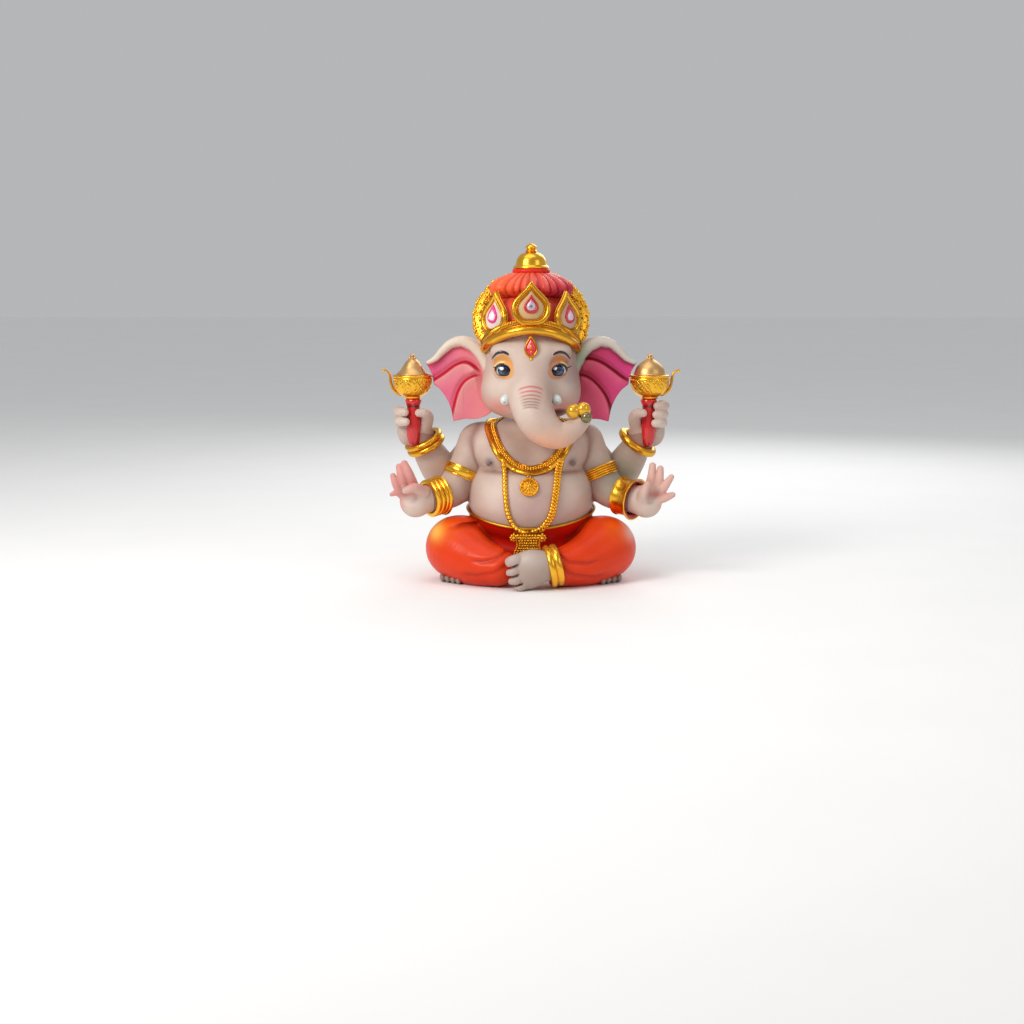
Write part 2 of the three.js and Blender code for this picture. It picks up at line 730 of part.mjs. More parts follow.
// The belt is the dhoti's gold hem with its buckle in one casting.
piece("waist_belt", GOLD, (grow) => {
  const s = new THREE.Shape();
  s.moveTo(-6.2, 0);
  s.lineTo(6.2, 0);
  s.quadraticCurveTo(5, 5, 8.2, 10);
  s.lineTo(-8.2, 10);
  s.quadraticCurveTo(-5, 5, -6.2, 0);
  const hem = roundTrip(20, (angle) => hemPoint(angle, HEM_SHELL));
  return join(loop(hem, 0.9 + grow, 4), plate(s, 3.4, upright(-1.3, -26.6, 17, 0, 0.3), grow, 3));
});

// ---- Fitting: each piece is trimmed at the floor and cut back from those before it ----
const FLOOR = solid(new THREE.BoxGeometry(400, 400, 100).translate(0, 0, -50));
const apart = (a, b) => [0, 1, 2].some((i) => a.min[i] > b.max[i] || b.min[i] > a.max[i]);

const root = new THREE.Group();
root.name = "ganesha_idol";
const fitted = [];
pieces.forEach(({ name, look, shape }) => {
  let part = shape(0).subtract(FLOOR);
  fitted
    .filter((before) => !apart(before.box, part.boundingBox()))
    .forEach((before) => {
      part = part.subtract(before.grown);
    });
  const grown = shape(GAP);
  fitted.push({ grown, box: grown.boundingBox() });
  const mesh = new THREE.Mesh(toGeometry(largest(part)), new THREE.MeshStandardMaterial(look));
  mesh.name = name;
  root.add(mesh);
});

export default root;
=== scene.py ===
"""A seated, four-armed Ganesha idol: painted skin, dhoti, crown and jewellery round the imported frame.

Shapes are worked out in millimetres, in the frame's own axes: the idol faces -Y, and +X is its left.
Soft shapes are distance fields turned into meshes. Ornaments are lathed, swept and beaded meshes.
"""
import json
import math

import bpy
import numpy as np
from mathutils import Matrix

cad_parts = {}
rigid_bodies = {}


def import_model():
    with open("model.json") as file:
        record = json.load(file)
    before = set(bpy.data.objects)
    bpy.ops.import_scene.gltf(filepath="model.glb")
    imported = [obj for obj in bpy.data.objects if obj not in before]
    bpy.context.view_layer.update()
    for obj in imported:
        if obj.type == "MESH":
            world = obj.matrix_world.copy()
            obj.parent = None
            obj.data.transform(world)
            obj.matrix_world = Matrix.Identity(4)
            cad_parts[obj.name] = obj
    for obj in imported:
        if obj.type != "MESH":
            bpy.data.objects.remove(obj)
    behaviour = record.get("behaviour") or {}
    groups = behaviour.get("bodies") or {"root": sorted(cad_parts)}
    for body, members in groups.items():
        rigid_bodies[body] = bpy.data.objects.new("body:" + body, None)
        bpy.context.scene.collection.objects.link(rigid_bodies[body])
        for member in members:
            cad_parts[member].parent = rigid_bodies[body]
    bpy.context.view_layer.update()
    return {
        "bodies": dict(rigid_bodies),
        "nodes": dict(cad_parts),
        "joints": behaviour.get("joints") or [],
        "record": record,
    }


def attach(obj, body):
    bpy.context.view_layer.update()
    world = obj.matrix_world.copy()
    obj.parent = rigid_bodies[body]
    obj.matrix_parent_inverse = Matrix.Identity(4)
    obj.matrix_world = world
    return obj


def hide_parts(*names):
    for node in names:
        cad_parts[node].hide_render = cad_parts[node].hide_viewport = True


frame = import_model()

import openvdb
from mathutils import Vector

MM = 0.001
SIDES = (("right", -1), ("left", 1))
RNG = np.random.default_rng(7)


# ---------------------------------------------------------------- camera, light and floor

CAMERA_DISTANCE = 900
CAMERA_ELEVATION = math.radians(5)
CAMERA_TARGET_Z = 79.5
CAMERA_LENS = 63.28
# The idol stands above and a little to the right of the picture's middle.
CAMERA_PITCH = math.radians(90 - 8.02)
CAMERA_YAW = math.radians(0.605)


def make_camera():
    data = bpy.data.cameras.new("camera")
    data.lens = CAMERA_LENS
    data.sensor_width = 36
    data.clip_start = 0.01
    camera = bpy.data.objects.new("camera", data)
    bpy.context.collection.objects.link(camera)
    back = CAMERA_DISTANCE * math.cos(CAMERA_ELEVATION)
    height = CAMERA_TARGET_Z + CAMERA_DISTANCE * math.sin(CAMERA_ELEVATION)
    camera.location = (0, -back * MM, height * MM)
    camera.rotation_euler = (CAMERA_PITCH, 0, CAMERA_YAW)
    bpy.context.scene.camera = camera


def area_light(name, place, power, size, colour=(1, 1, 1)):
    """A square lamp at a place given in millimetres, aimed at the idol's middle."""
    data = bpy.data.lights.new(name, "AREA")
    data.energy = power
    data.size = size * MM
    data.color = colour
    light = bpy.data.objects.new(name, data)
    bpy.context.collection.objects.link(light)
    light.location = [v * MM for v in place]
    towards = Vector((0, 0, 80 * MM)) - light.location
    light.rotation_euler = towards.to_track_quat("-Z", "Y").to_euler()


def make_studio():
    area_light("key", (-460, -480, 520), 3.3, 320, (1, 0.97, 0.93))
    area_light("fill", (520, -440, 420), 0.42, 300, (1, 0.96, 0.92))
    area_light("rim", (180, 520, 420), 1.2, 420)
    area_light("top", (-60, -60, 620), 0.75, 420)
    world = bpy.data.worlds.new("studio")
    world.use_nodes = True
    world.node_tree.nodes["Background"].inputs["Color"].default_value = (0.93, 0.94, 0.96, 1)
    world.node_tree.nodes["Background"].inputs["Strength"].default_value = 0.5
    bpy.context.scene.world = world
    bpy.context.scene.view_settings.view_transform = "Standard"


make_camera()
make_studio()


# ---------------------------------------------------------------- materials

def srgb(red, green, blue):
    """A colour given as 0 to 255 on a screen, as linear values."""
    c = np.array([red, green, blue]) / 255
    return np.where(c <= 0.04045, c / 12.92, ((c + 0.055) / 1.055) ** 2.4)


class Stuff:
    """A material being wired up, node by node."""

    def __init__(self, name, roughness, metallic=0.0, coat=0.0, sheen=0.0, subsurface=0.0, gleam=0.5):
        self.material = bpy.data.materials.new(name)
        self.material.use_nodes = True
        self.tree = self.material.node_tree
        self.shader = self.tree.nodes["Principled BSDF"]
        self.shader.inputs["Roughness"].default_value = roughness
        self.shader.inputs["Metallic"].default_value = metallic
        self.shader.inputs["Coat Weight"].default_value = coat
        self.shader.inputs["Coat Roughness"].default_value = 0.12
        self.shader.inputs["Sheen Weight"].default_value = sheen
        self.shader.inputs["Specular IOR Level"].default_value = gleam
        self.shader.inputs["Subsurface Weight"].default_value = subsurface
        self.shader.inputs["Subsurface Radius"].default_value = (0.004, 0.002, 0.0012)
        self.place = self.tree.nodes.new("ShaderNodeTexCoord").outputs["Object"]

    def node(self, kind, **settings):
        made = self.tree.nodes.new(kind)
        for key, value in settings.items():
            setattr(made, key, value)
        return made

    def join(self, source, target):
        self.tree.links.new(source, target)

    def noise(self, size_mm, detail=3.0, stretch=(1, 1, 1)):
        """Noise whose features are about size_mm across."""
        scale = self.node("ShaderNodeMapping")
        scale.inputs["Scale"].default_value = stretch
        self.join(self.place, scale.inputs["Vector"])
        made = self.node("ShaderNodeTexNoise")
        made.inputs["Scale"].default_value = 1 / (size_mm * MM)
        made.inputs["Detail"].default_value = detail
        self.join(scale.outputs["Vector"], made.inputs["Vector"])
        return made.outputs["Fac"]

    def ramp(self, value, stops):
        """Colours along a value, from (position, colour) stops."""
        made = self.node("ShaderNodeValToRGB")
        points = made.color_ramp.elements
        while len(points) < len(stops):
            points.new(0.5)
        for point, (position, colour) in zip(points, stops):
            point.position = position
            point.color = (*colour, 1)
        self.join(value, made.inputs["Fac"])
        return made.outputs["Color"]

    def mix(self, kind, factor, first, second):
        """Mixes two colours, each a socket or a plain colour."""
        made = self.node("ShaderNodeMix", data_type="RGBA", blend_type=kind)
        for value, socket in ((factor, made.inputs[0]), (first, made.inputs[6]), (second, made.inputs[7])):
            if isinstance(value, bpy.types.NodeSocket):
                self.join(value, socket)
            elif np.ndim(value):
                socket.default_value = (*value, 1)
            else:
                socket.default_value = value
        return made.outputs[2]

    def tint(self):
        """The colour painted on the mesh's own points."""
        return self.node("ShaderNodeAttribute", attribute_name="tint").outputs["Color"]

    def colour(self, source):
        self.join(source, self.shader.inputs["Base Color"])

    def roughness(self, value, low, high):
        made = self.node("ShaderNodeMapRange")
        made.inputs["To Min"].default_value = low
        made.inputs["To Max"].default_value = high
        self.join(value, made.inputs["Value"])
        self.join(made.outputs["Result"], self.shader.inputs["Roughness"])

    def bump(self, height, depth_mm, strength=1.0):
        made = self.node("ShaderNodeBump")
        made.inputs["Strength"].default_value = strength
        made.inputs["Distance"].default_value = depth_mm * MM
        self.join(height, made.inputs["Height"])
        self.join(made.outputs["Normal"], self.shader.inputs["Normal"])


def painted(name, roughness, grain_mm=0.5, grain_depth=0.012, mottle=0.06, **shader):
    """Hand-painted resin: the mesh's own tint, a slight mottle and a fine brushed grain."""
    stuff = Stuff(name, roughness, **shader)
    cloudy = stuff.noise(6)
    shade = stuff.ramp(cloudy, [(0.3, (1 - mottle,) * 3), (0.7, (1 + mottle * 0.2,) * 3)])
    stuff.colour(stuff.mix("MULTIPLY", 1.0, stuff.tint(), shade))
    stuff.roughness(stuff.noise(2.5), roughness - 0.07, roughness + 0.07)
    stuff.bump(stuff.noise(grain_mm), grain_depth)
    return stuff.material


def gilded(name, bright, deep, roughness, grain_mm, grain_depth):
    """Gold paint with a painted highlight on its crests, and painted shade, deeper and browner, where it
    dips.
    """
    stuff = Stuff(name, roughness, metallic=1.0)
    dip = stuff.node("ShaderNodeNewGeometry").outputs["Pointiness"]
    # Pointiness picks out crests and hollows: painted highlight on crests, painted shade in hollows.
    base = stuff.ramp(dip, [(0.40, deep), (0.49, bright), (0.60, np.minimum(bright * 1.08, 1))])
    patch = stuff.ramp(stuff.noise(3.5), [(0.35, (0.9, 0.86, 0.8)), (0.65, (1, 1, 1))])
    stuff.colour(stuff.mix("MULTIPLY", 1.0, base, patch))
    stuff.roughness(stuff.noise(1.6), roughness - 0.06, roughness + 0.1)
    stuff.bump(stuff.noise(grain_mm), grain_depth)
    return stuff.material


GOLD_BRIGHT = srgb(250, 190, 62)
GOLD_DEEP = srgb(160, 74, 10)
SKIN = painted("skin_paint", 0.5, subsurface=0.08, gleam=0.4)
CLOTH = painted("cloth_paint", 0.36, grain_mm=0.35, grain_depth=0.015, mottle=0.08, gleam=0.28)
EAR_PAINT = painted("ear_paint", 0.45, mottle=0.05, subsurface=0.05, gleam=0.35)
GLOSS = painted("gloss_paint", 0.16, grain_mm=1.2, grain_depth=0.004, mottle=0.05, coat=0.6)
GOLD = gilded("gold_smooth", GOLD_BRIGHT, GOLD_DEEP, 0.22, 1.4, 0.015)
GOLD_CRUST = gilded("gold_crusty", srgb(246, 190, 60), srgb(134, 62, 8), 0.3, 0.35, 0.06)
GOLD_SATIN = gilded("gold_satin", srgb(222, 180, 122), srgb(156, 102, 50), 0.36, 0.8, 0.02)


def steel():
    stuff = Stuff("steel_rod", 0.35, metallic=1.0)
    stuff.colour(stuff.ramp(stuff.noise(1.5, stretch=(1, 1, 8)), [(0.3, (0.42,) * 3), (0.7, (0.6,) * 3)]))
    stuff.bump(stuff.noise(0.4, stretch=(1, 1, 10)), 0.01)
    return stuff.material


def felt():
    stuff = Stuff("felt", 0.95, sheen=0.4)
    fibre = stuff.noise(0.25, detail=6)
    stuff.colour(stuff.ramp(fibre, [(0.35, srgb(24, 34, 29)), (0.7, srgb(62, 78, 68))]))
    stuff.bump(fibre, 0.25)
    return stuff.material


# ---------------------------------------------------------------- making pieces

def build(name, verts, faces, material, replaces=(), tint=None, normals=None):
    """A piece of the idol from points in millimetres, standing for some CAD nodes."""
    mesh = bpy.data.meshes.new(name)
    mesh.from_pydata((np.asarray(verts) * MM).tolist(), [], [tuple(f) for f in faces])
    mesh.shade_smooth()
    mesh.materials.append(material)
    if tint is not None:
        layer = mesh.color_attributes.new("tint", "FLOAT_COLOR", "POINT")
        colours = np.ones((len(verts), 4))
        colours[:, :3] = tint
        layer.data.foreach_set("color", colours.ravel())
    if normals is not None:
        mesh.normals_split_custom_set_from_vertices(normals.tolist())
    piece = bpy.data.objects.new(name, mesh)
    bpy.context.collection.objects.link(piece)
    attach(piece, "root")
    if replaces:
        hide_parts(*replaces)
    return piece


def blend_colours(first, second, share):
    """Mixes two colours point by point."""
    share = np.clip(np.asarray(share), 0, 1)[..., None]
    return first * (1 - share) + second * share


# ---------------------------------------------------------------- distance fields

def ball(p, at, radii):
    """Distance to an ellipsoid, near enough to blend with."""
    q = [(a - c) / r for a, c, r in zip(p, at, radii)]
    reach = np.sqrt(q[0] ** 2 + q[1] ** 2 + q[2] ** 2) + 1e-9
    slope = np.sqrt(sum((v / r) ** 2 for v, r in zip(q, radii))) + 1e-9 / min(radii)
    return reach * (reach - 1) / slope


def smooth_line(stations, count, closed=False):
    """Points of a smooth curve through stations, whatever numbers each station holds."""
    s = np.asarray(stations, float)
    if closed:
        knots = np.vstack([s[-1:], s, s[:2]])
        t = np.linspace(0, len(s), count, endpoint=False)
    else:
        knots = np.vstack([2 * s[:1] - s[1:2], s, 2 * s[-1:] - s[-2:-1]])
        t = np.linspace(0, len(s) - 1 - 1e-9, count)
    i = t.astype(int)
    f = (t - i)[:, None]
    a, b, c, d = (knots[i + k] for k in range(4))
    return 0.5 * (2 * b + (c - a) * f + (2 * a - 5 * b + 4 * c - d) * f**2 + (3 * b - a - 3 * c + d) * f**3)


def limb(p, stations, count=26):
    """Distance to a round limb through stations of x, y, z and radius."""
    line = smooth_line(stations, count)
    best = np.inf
    for a, b in zip(line, line[1:]):
        axis = b[:3] - a[:3]
        rel = [p[i] - a[i] for i in range(3)]
        t = np.clip(sum(rel[i] * axis[i] for i in range(3)) / (axis @ axis), 0, 1)
        gap = np.sqrt(sum((rel[i] - t * axis[i]) ** 2 for i in range(3)))
        best = np.minimum(best, gap - (a[3] + t * (b[3] - a[3])))
    return best


def melt(a, b, size):
    """Joins two fields with a fillet of about this size."""
    h = np.maximum(size - np.abs(a - b), 0) / size
    return np.minimum(a, b) - h * h * size / 4


def carve(a, b, size):
    """Cuts field b out of field a, with a rounded edge."""
    return -melt(-a, b, size)


def near_line(u, v, points):
    """Distance in one plane from (u, v) to a polyline."""
    best = np.inf
    for (au, av), (bu, bv) in zip(points, points[1:]):
        du, dv = bu - au, bv - av
        t = np.clip(((u - au) * du + (v - av) * dv) / (du * du + dv * dv), 0, 1)
        best = np.minimum(best, np.hypot(u - au - t * du, v - av - t * dv))
    return best


def slope_of(field, points, step=0.25):
    """The outward direction of a field at each point."""
    grads = []
    for axis in range(3):
        ahead, behind = points.copy(), points.copy()
        ahead[:, axis] += step
        behind[:, axis] -= step
        grads.append(field(ahead.T) - field(behind.T))
    g = np.stack(grads, axis=1)
    return g / np.maximum(np.linalg.norm(g, axis=1, keepdims=True), 1e-9)


def settle(points, field, proud=0.0, rounds=5):
    """Moves points onto a field's surface, or proud of it."""
    points = np.asarray(points, float).copy()
    for _ in range(rounds):
        points -= slope_of(field, points) * (field(points.T) - proud)[:, None]
    return points


# How far the castings stay off the floor, and what the painted shade along a join multiplies by.
FLOOR_GAP = 0.02
SEAM_SHADE = np.array([0.5, 0.3, 0.26])


def inward(verts, quads):
    """Whether faces point into the body that they close."""
    a, b, c, d = (verts[quads[:, i]] for i in range(4))
    return np.sum(np.cross(c - a, d - b) * (a + b + c + d)) < 0


def cast(name, own, others, low, high, step, material, slot, replaces, tint,
         blend=3.0, join_shade=0.75, lap=0.0, cut=None):
    """Casts a piece from its own field, blended with its neighbours and parted where they meet.

    Where it meets a neighbour its paint is darkened: painted shade in the crease along the join. It reaches
    past the parting by lap, and cut is a field that is taken out of it last.
    """
    axes = [np.arange(a, b + step, step) for a, b in zip(low, high)]
    p = (axes[0][:, None, None], axes[1][None, :, None], axes[2][None, None, :])
    mine = own(p)
    whole = mine
    if others:
        rest = np.minimum.reduce([other(p) for other in others])
        whole = melt(mine, rest, blend)
        whole = np.maximum(whole, mine - rest - lap)
    if cut:
        whole = np.maximum(whole, -cut(p))
    limit = 3 * step
    values = np.clip(np.maximum(whole, FLOOR_GAP - p[2]), -limit, limit).astype(np.float32)
    grid = openvdb.FloatGrid(limit)
    grid.copyFromArray(values)
    points, quads = grid.convertToQuads(0)
    verts = np.array(low) + points * step

    def total(q):
        field = own(q)
        if others:
            field = melt(field, np.minimum.reduce([other(q) for other in others]), blend)
        return np.maximum(field, -cut(q)) if cut else field

    normals = slope_of(total, verts)
    normals[np.abs(total(verts.T)) > 0.6 * step] = 0
    quads = quads[:, ::-1] if inward(verts, quads) else quads
    colours = tint(verts, normals)
    # Painted shade in the crease along each join with a neighbour.
    if others:
        apart = np.abs(own(verts.T) - np.minimum.reduce([other(verts.T) for other in others]))
        colours = blend_colours(colours, colours * SEAM_SHADE, join_shade * np.exp(-((apart / 1.6) ** 2)))
    return build(name, verts, quads, material, replaces, colours, normals)


# ---------------------------------------------------------------- the body's shapes

def mirrored(stations, side):
    """Stations, or one place, on one side of the middle."""
    s = np.array(stations, float)
    s[..., 0] *= side
    return s


BELLY = ((0, -1, 38), (31, 28, 24))
FRONT_ARM = (
    (27, 4, 66.5, 9.6), (32.2, -0.5, 55.5, 8.4), (37, -3, 45.6, 8.9), (43, -8.5, 42, 8),
    (48.8, -13, 40.6, 6.6),
)
REAR_ARM = (
    (25, 11, 65, 10), (34.5, 12, 54, 9.2), (43, 11, 48.5, 9), (49, 8, 57, 8.6), (54.3, 5, 66.8, 6.3),
    (55.5, 4.6, 70, 5.8),
)
THIGH = (
    (11, 8, 13.5, 12), (26.5, -3, 14.8, 14.2), (37, -14, 16, 15.2), (27, -27, 11.5, 12.6),
    (15.5, -36, 9.5, 9),
)
TRUNK = (
    (0, -12, 107, 9), (0, -21, 98, 9.6), (0, -29, 88.5, 10.2), (5, -35, 78.5, 8.8), (13.5, -37, 74, 6.5),
    (21, -37, 77.5, 4.7), (24.6, -36.6, 81.2, 4),
)
FRONT_FINGERS = {
    "right": (
        ((-57, -18.5, 45, 2.8), (-59.6, -21, 53, 2.3), (-62, -20, 58.2, 1.8)),
        ((-60.8, -18.8, 44.5, 2.6), (-63.2, -21.5, 51.5, 2.2), (-64.6, -20.5, 56.8, 1.6)),
        ((-62.8, -19, 42.5, 2.4), (-66, -21.5, 48, 2), (-67.6, -21, 52.4, 1.4)),
        ((-61.5, -19.5, 41.2, 2.2), (-65.4, -21.2, 44, 1.6), (-68.4, -21.2, 43.2, 1)),
        ((-52.8, -20.8, 44.2, 3.2), (-56.8, -25.4, 47, 2.5), (-61.2, -26.6, 45.8, 1.7)),
    ),
    "left": (
        ((58, -18.5, 45, 2.7), (59, -21, 52, 2.1), (59.6, -20, 57.4, 1.7)),
        ((61.6, -18.8, 45, 2.5), (63, -21.2, 51.4, 2), (63.4, -20.3, 56, 1.6)),
        ((62.6, -19, 43, 2.6), (66, -21.5, 48.2, 2.1), (68.8, -21, 52, 1.4)),
        ((61, -19.5, 40.4, 2.7), (65.6, -21.4, 41.8, 2.2), (69.4, -21.4, 43.2, 1.5)),
        ((54.4, -20.5, 40, 3.2), (55.6, -24.6, 45, 2.7), (57, -26, 49, 1.8)),
    ),
}
GRIPPING = {"right": (82, 77.2), "left": (85.2, 80.9, 76.6)}


def torso(p):
    belly = melt(ball(p, BELLY[0], BELLY[1]), ball(p, (0, 0.5, 46.5), (29.8, 25, 15.5)), 6)
    chest = ball(p, (0, 2, 61), (27.5, 21, 16.5))
    for _, side in SIDES:
        chest = melt(chest, ball(p, (side * 13, -8.5, 61.5), (12.5, 13.2, 8.8)), 7)
        chest = melt(chest, ball(p, (side * 21, 5, 67.5), (12, 12, 9)), 8)
        chest = melt(chest, ball(p, (side * 20.7, -20.4, 58.5), (1.4, 1.4, 1.4)), 1.2)
    chest = melt(chest, limb(p, ((0, 2, 66, 14), (0, 2, 84, 12)), 2), 5)
    body = melt(belly, chest, 1.6)
    spine = np.exp(-((p[0] / 3.2) ** 2)) * np.clip((p[1] - 6) / 8, 0, 1) * np.clip((p[2] - 34) / 12, 0, 1)
    return body + 0.9 * spine


def front_arm(side):
    stations = mirrored(FRONT_ARM, side)
    return lambda p: limb(p, stations)


def rear_arm(side):
    stations = mirrored(REAR_ARM, side)
    return lambda p: limb(p, stations, 30)


def front_hand(word, side):
    """An open palm that faces the front, with four fingers and a thumb."""

    def field(p):
        palm = ball(p, (side * 57.2, -17.6, 39.4), (7.4, 5.4, 7.9))
        palm = melt(palm, limb(p, ((side * 48.5, -13, 40.6, 5.8), (side * 55, -16, 39.8, 6.2)), 2), 4)
        hollow = ball(p, (side * 59.5, -25.2, 42), (4.2, 4, 3.6))
        palm = carve(palm, hollow, 2)
        for finger in FRONT_FINGERS[word]:
            palm = melt(palm, limb(p, finger, 9), 0.8)
        return palm

    return field


def rear_hand(word, side):
    """A fist round the lamp's grip: three fingers from outside and a thumb from inside."""

    def field(p):
        palm = ball(p, (side * 59.2, 4.6, 74.4), (7.4, 5, 8.6))
        palm = melt(palm, ball(p, (side * 55, 4.4, 70), (5.6, 5, 6)), 4)
        palm = melt(palm, ball(p, (side * 62.6, 4, 71), (4, 4.4, 6)), 3)
        for i, z in enumerate(GRIPPING[word]):
            x = 66.6 - 0.5 * i
            out = (
                (x - 1, 4, z, 2.6), (x, -1, z + 0.2, 2.5), (x - 1.8, -4.4, z + 0.4, 2.3),
                (x - 4, -5.6, z + 0.3, 2),
            )
            palm = melt(palm, limb(p, mirrored(out, side), 9), 0.7)
        thumb = ((53, 2.6, 74, 3.3), (51.4, -2, 79.2, 3), (52.6, -5.2, 81.8, 2.5), (55.6, -6, 82, 2))
        return melt(palm, limb(p, mirrored(thumb, side), 9), 1)

    return field


EYE = (13.6, -18.2, 104)
EYE_RADII = (4.3, 3.4, 3.6)


def eye_openings(p):
    return np.minimum(eye_opening(-1, p), eye_opening(1, p))


def eye_opening(side, p):
    """Distance from the opening between the lids, which is rounder above and leans up at its outer end."""
    across = (side * p[0] - EYE[0]) / 3.7
    up = (p[2] - EYE[2] - 0.06 * (side * p[0] - EYE[0])) / np.where(p[2] > EYE[2], 2.95, 2.7)
    reach = (np.abs(across) ** 2.3 + np.abs(up) ** 2.1) ** (1 / 2.2)
    return np.maximum((reach - 1) * 2.9, p[1] + 17.4)


CREASES = ((97, 0.5), (95, 0.45), (93.2, 0.4), (91.6, 0.36), (90.2, 0.32), (88.9, 0.28), (87.7, 0.2))


def head(p):
    skull = ball(p, (0, 1, 105), (23.8, 23.5, 26))
    for _, side in SIDES:
        skull = melt(skull, ball(p, (side * 13, -7, 92), (11.4, 13.5, 11)), 7)
        skull = melt(skull, ball(p, (side * 12, -17, 113), (7.5, 4.5, 4)), 7)
        socket = ball(p, (side * 13.6, -23, 104.6), (5.6, 3.2, 4.6))
        skull = carve(skull, socket, 3)
        lids = ball(p, (side * EYE[0], EYE[1], EYE[2]), [r + 0.85 for r in EYE_RADII])
        skull = melt(skull, lids, 1.3)
    skull = melt(skull, ball(p, (0, -9, 85), (13, 12, 6.5)), 5)
    mouth = ball(p, (14, -19.5, 81.2), (6.8, 7.5, 3.2))
    return carve(skull, mouth, 2)


def trunk(p):
    field = limb(p, TRUNK, 40)
    frontal = np.clip((-p[1] - 22) / 6, 0, 1)
    for z, depth in CREASES:
        reach = 7 - (97 - z) * 0.2
        arc = z - 0.045 * p[0] ** 2
        across = np.clip((reach - np.abs(p[0])) / 2.2, 0, 1)
        field = field + depth * frontal * across * np.exp(-(((p[2] - arc) / 0.48) ** 2))
    tip = ball(p, (25.4, -38.4, 83.6), (2.2, 2.2, 2.2))
    return carve(field, tip, 1)


# ---------------------------------------------------------------- the skin's paint

SKIN_BASE = srgb(196, 171, 158)
# The paler skin colour is used only for painted highlights.
SKIN_HIGHLIGHT = srgb(226, 207, 194)
SKIN_ROSE = srgb(226, 150, 138)
SKIN_PEACH = srgb(232, 172, 138)
# A painted green reflection on the skin of the idol's left side.
SKIN_GREEN_REFLECTION = srgb(158, 160, 138)
MOUTH_DARK = srgb(64, 24, 18)


def patch(v, at, radii):
    """How far inside a soft ellipsoid of paint each point lies, from 0 to 1."""
    return np.exp(-sum(((v[:, i] - at[i]) / radii[i]) ** 2 for i in range(3)))


def dab(colour, v, dabs):
    """Soft dabs over a colour, each a paint, how strong it is, its place and its radii."""
    for paint, share, at, radii in dabs:
        colour = blend_colours(colour, paint, share * patch(v, at, radii))
    return colour


def body_paint(v, n):
    # Painted highlights on both sides of the belly and on the idol's right shoulder, a rose tone on the
    # belly's front, and painted shade on the chest under the head.
    colour = dab(SKIN_BASE, v, (
        (SKIN_HIGHLIGHT, 0.8, (-17, -22, 43), (10, 20, 11)),
        (SKIN_HIGHLIGHT, 0.5, (21, -20, 45), (8, 20, 10)),
        (srgb(192, 154, 150), 0.6, (3, -26, 37), (12, 20, 10)),
        (srgb(176, 140, 122), 0.6, (0, -20, 66), (15, 20, 9)),
        (SKIN_HIGHLIGHT, 0.5, (-25, -8, 66), (7, 12, 8)),
    ))
    for _, side in SIDES:
        colour = blend_colours(
            colour, srgb(96, 84, 90), 0.9 * patch(v, (side * 20.7, -21, 58.5), (2.3, 5, 2.3)),
        )
    # Painted shade in the fold under the chest.
    fold = np.exp(-(((v[:, 2] - 54) / 1.2) ** 2)) * np.clip((-v[:, 1] - 6) / 8, 0, 1)
    return blend_colours(colour, srgb(138, 84, 70), 0.65 * fold)


def arm_paint(side):
    def paint(v, n):
        colour = np.broadcast_to(SKIN_BASE, v.shape)
        # A painted green reflection on the idol's left arm.
        if side > 0:
            colour = blend_colours(colour, SKIN_GREEN_REFLECTION, 0.85 * patch(v, (44, 0, 48), (13, 22, 12)))
        # Painted shade, in rose, on the arm's underside.
        under = np.clip(-n[:, 2], 0, 1) * patch(v, (side * 38, -3, 42), (9, 12, 8))
        colour = blend_colours(colour, SKIN_ROSE, 0.75 * under)
        # Painted shade in the crease between arm and body.
        inside = patch(v, (side * 31, -9, 47), (4, 8, 8))
        return blend_colours(colour, srgb(142, 98, 84), 0.6 * inside)

    return paint


def hand_paint(side):
    def paint(v, n):
        # Painted highlight: faces turned to the front are paler.
        colour = blend_colours(SKIN_BASE, SKIN_HIGHLIGHT, 0.7 * np.clip(-n[:, 1], 0, 1))
        rosy, share = (srgb(218, 140, 132), 0.85) if side < 0 else (srgb(226, 172, 158), 0.75)
        tips = np.clip((v[:, 2] - 44) / 5, 0, 1) * share
        outer = np.clip((side * v[:, 0] - 61) / 4, 0, 1) * share
        colour = blend_colours(colour, rosy, np.maximum(tips, outer))
        # Painted shade at the roots of the fingers.
        colour = blend_colours(
            colour, srgb(196, 100, 94), 0.75 * patch(v, (side * 60, -22, 43.6), (5, 4, 1.8)),
        )
        # Painted shade along the left thumb's inner edge.
        edge = 0.6 * patch(v, (side * 57.4, -26, 44.5), (1.4, 3, 5)) if side > 0 else 0
        return blend_colours(colour, srgb(176, 96, 84), edge)

    return paint


def fist_paint(side):
    def paint(v, n):
        # Painted highlight on the front of the fist.
        return blend_colours(SKIN_BASE, SKIN_HIGHLIGHT, 0.7 * patch(v, (side * 62, -6, 77), (8, 5, 8)))

    return paint


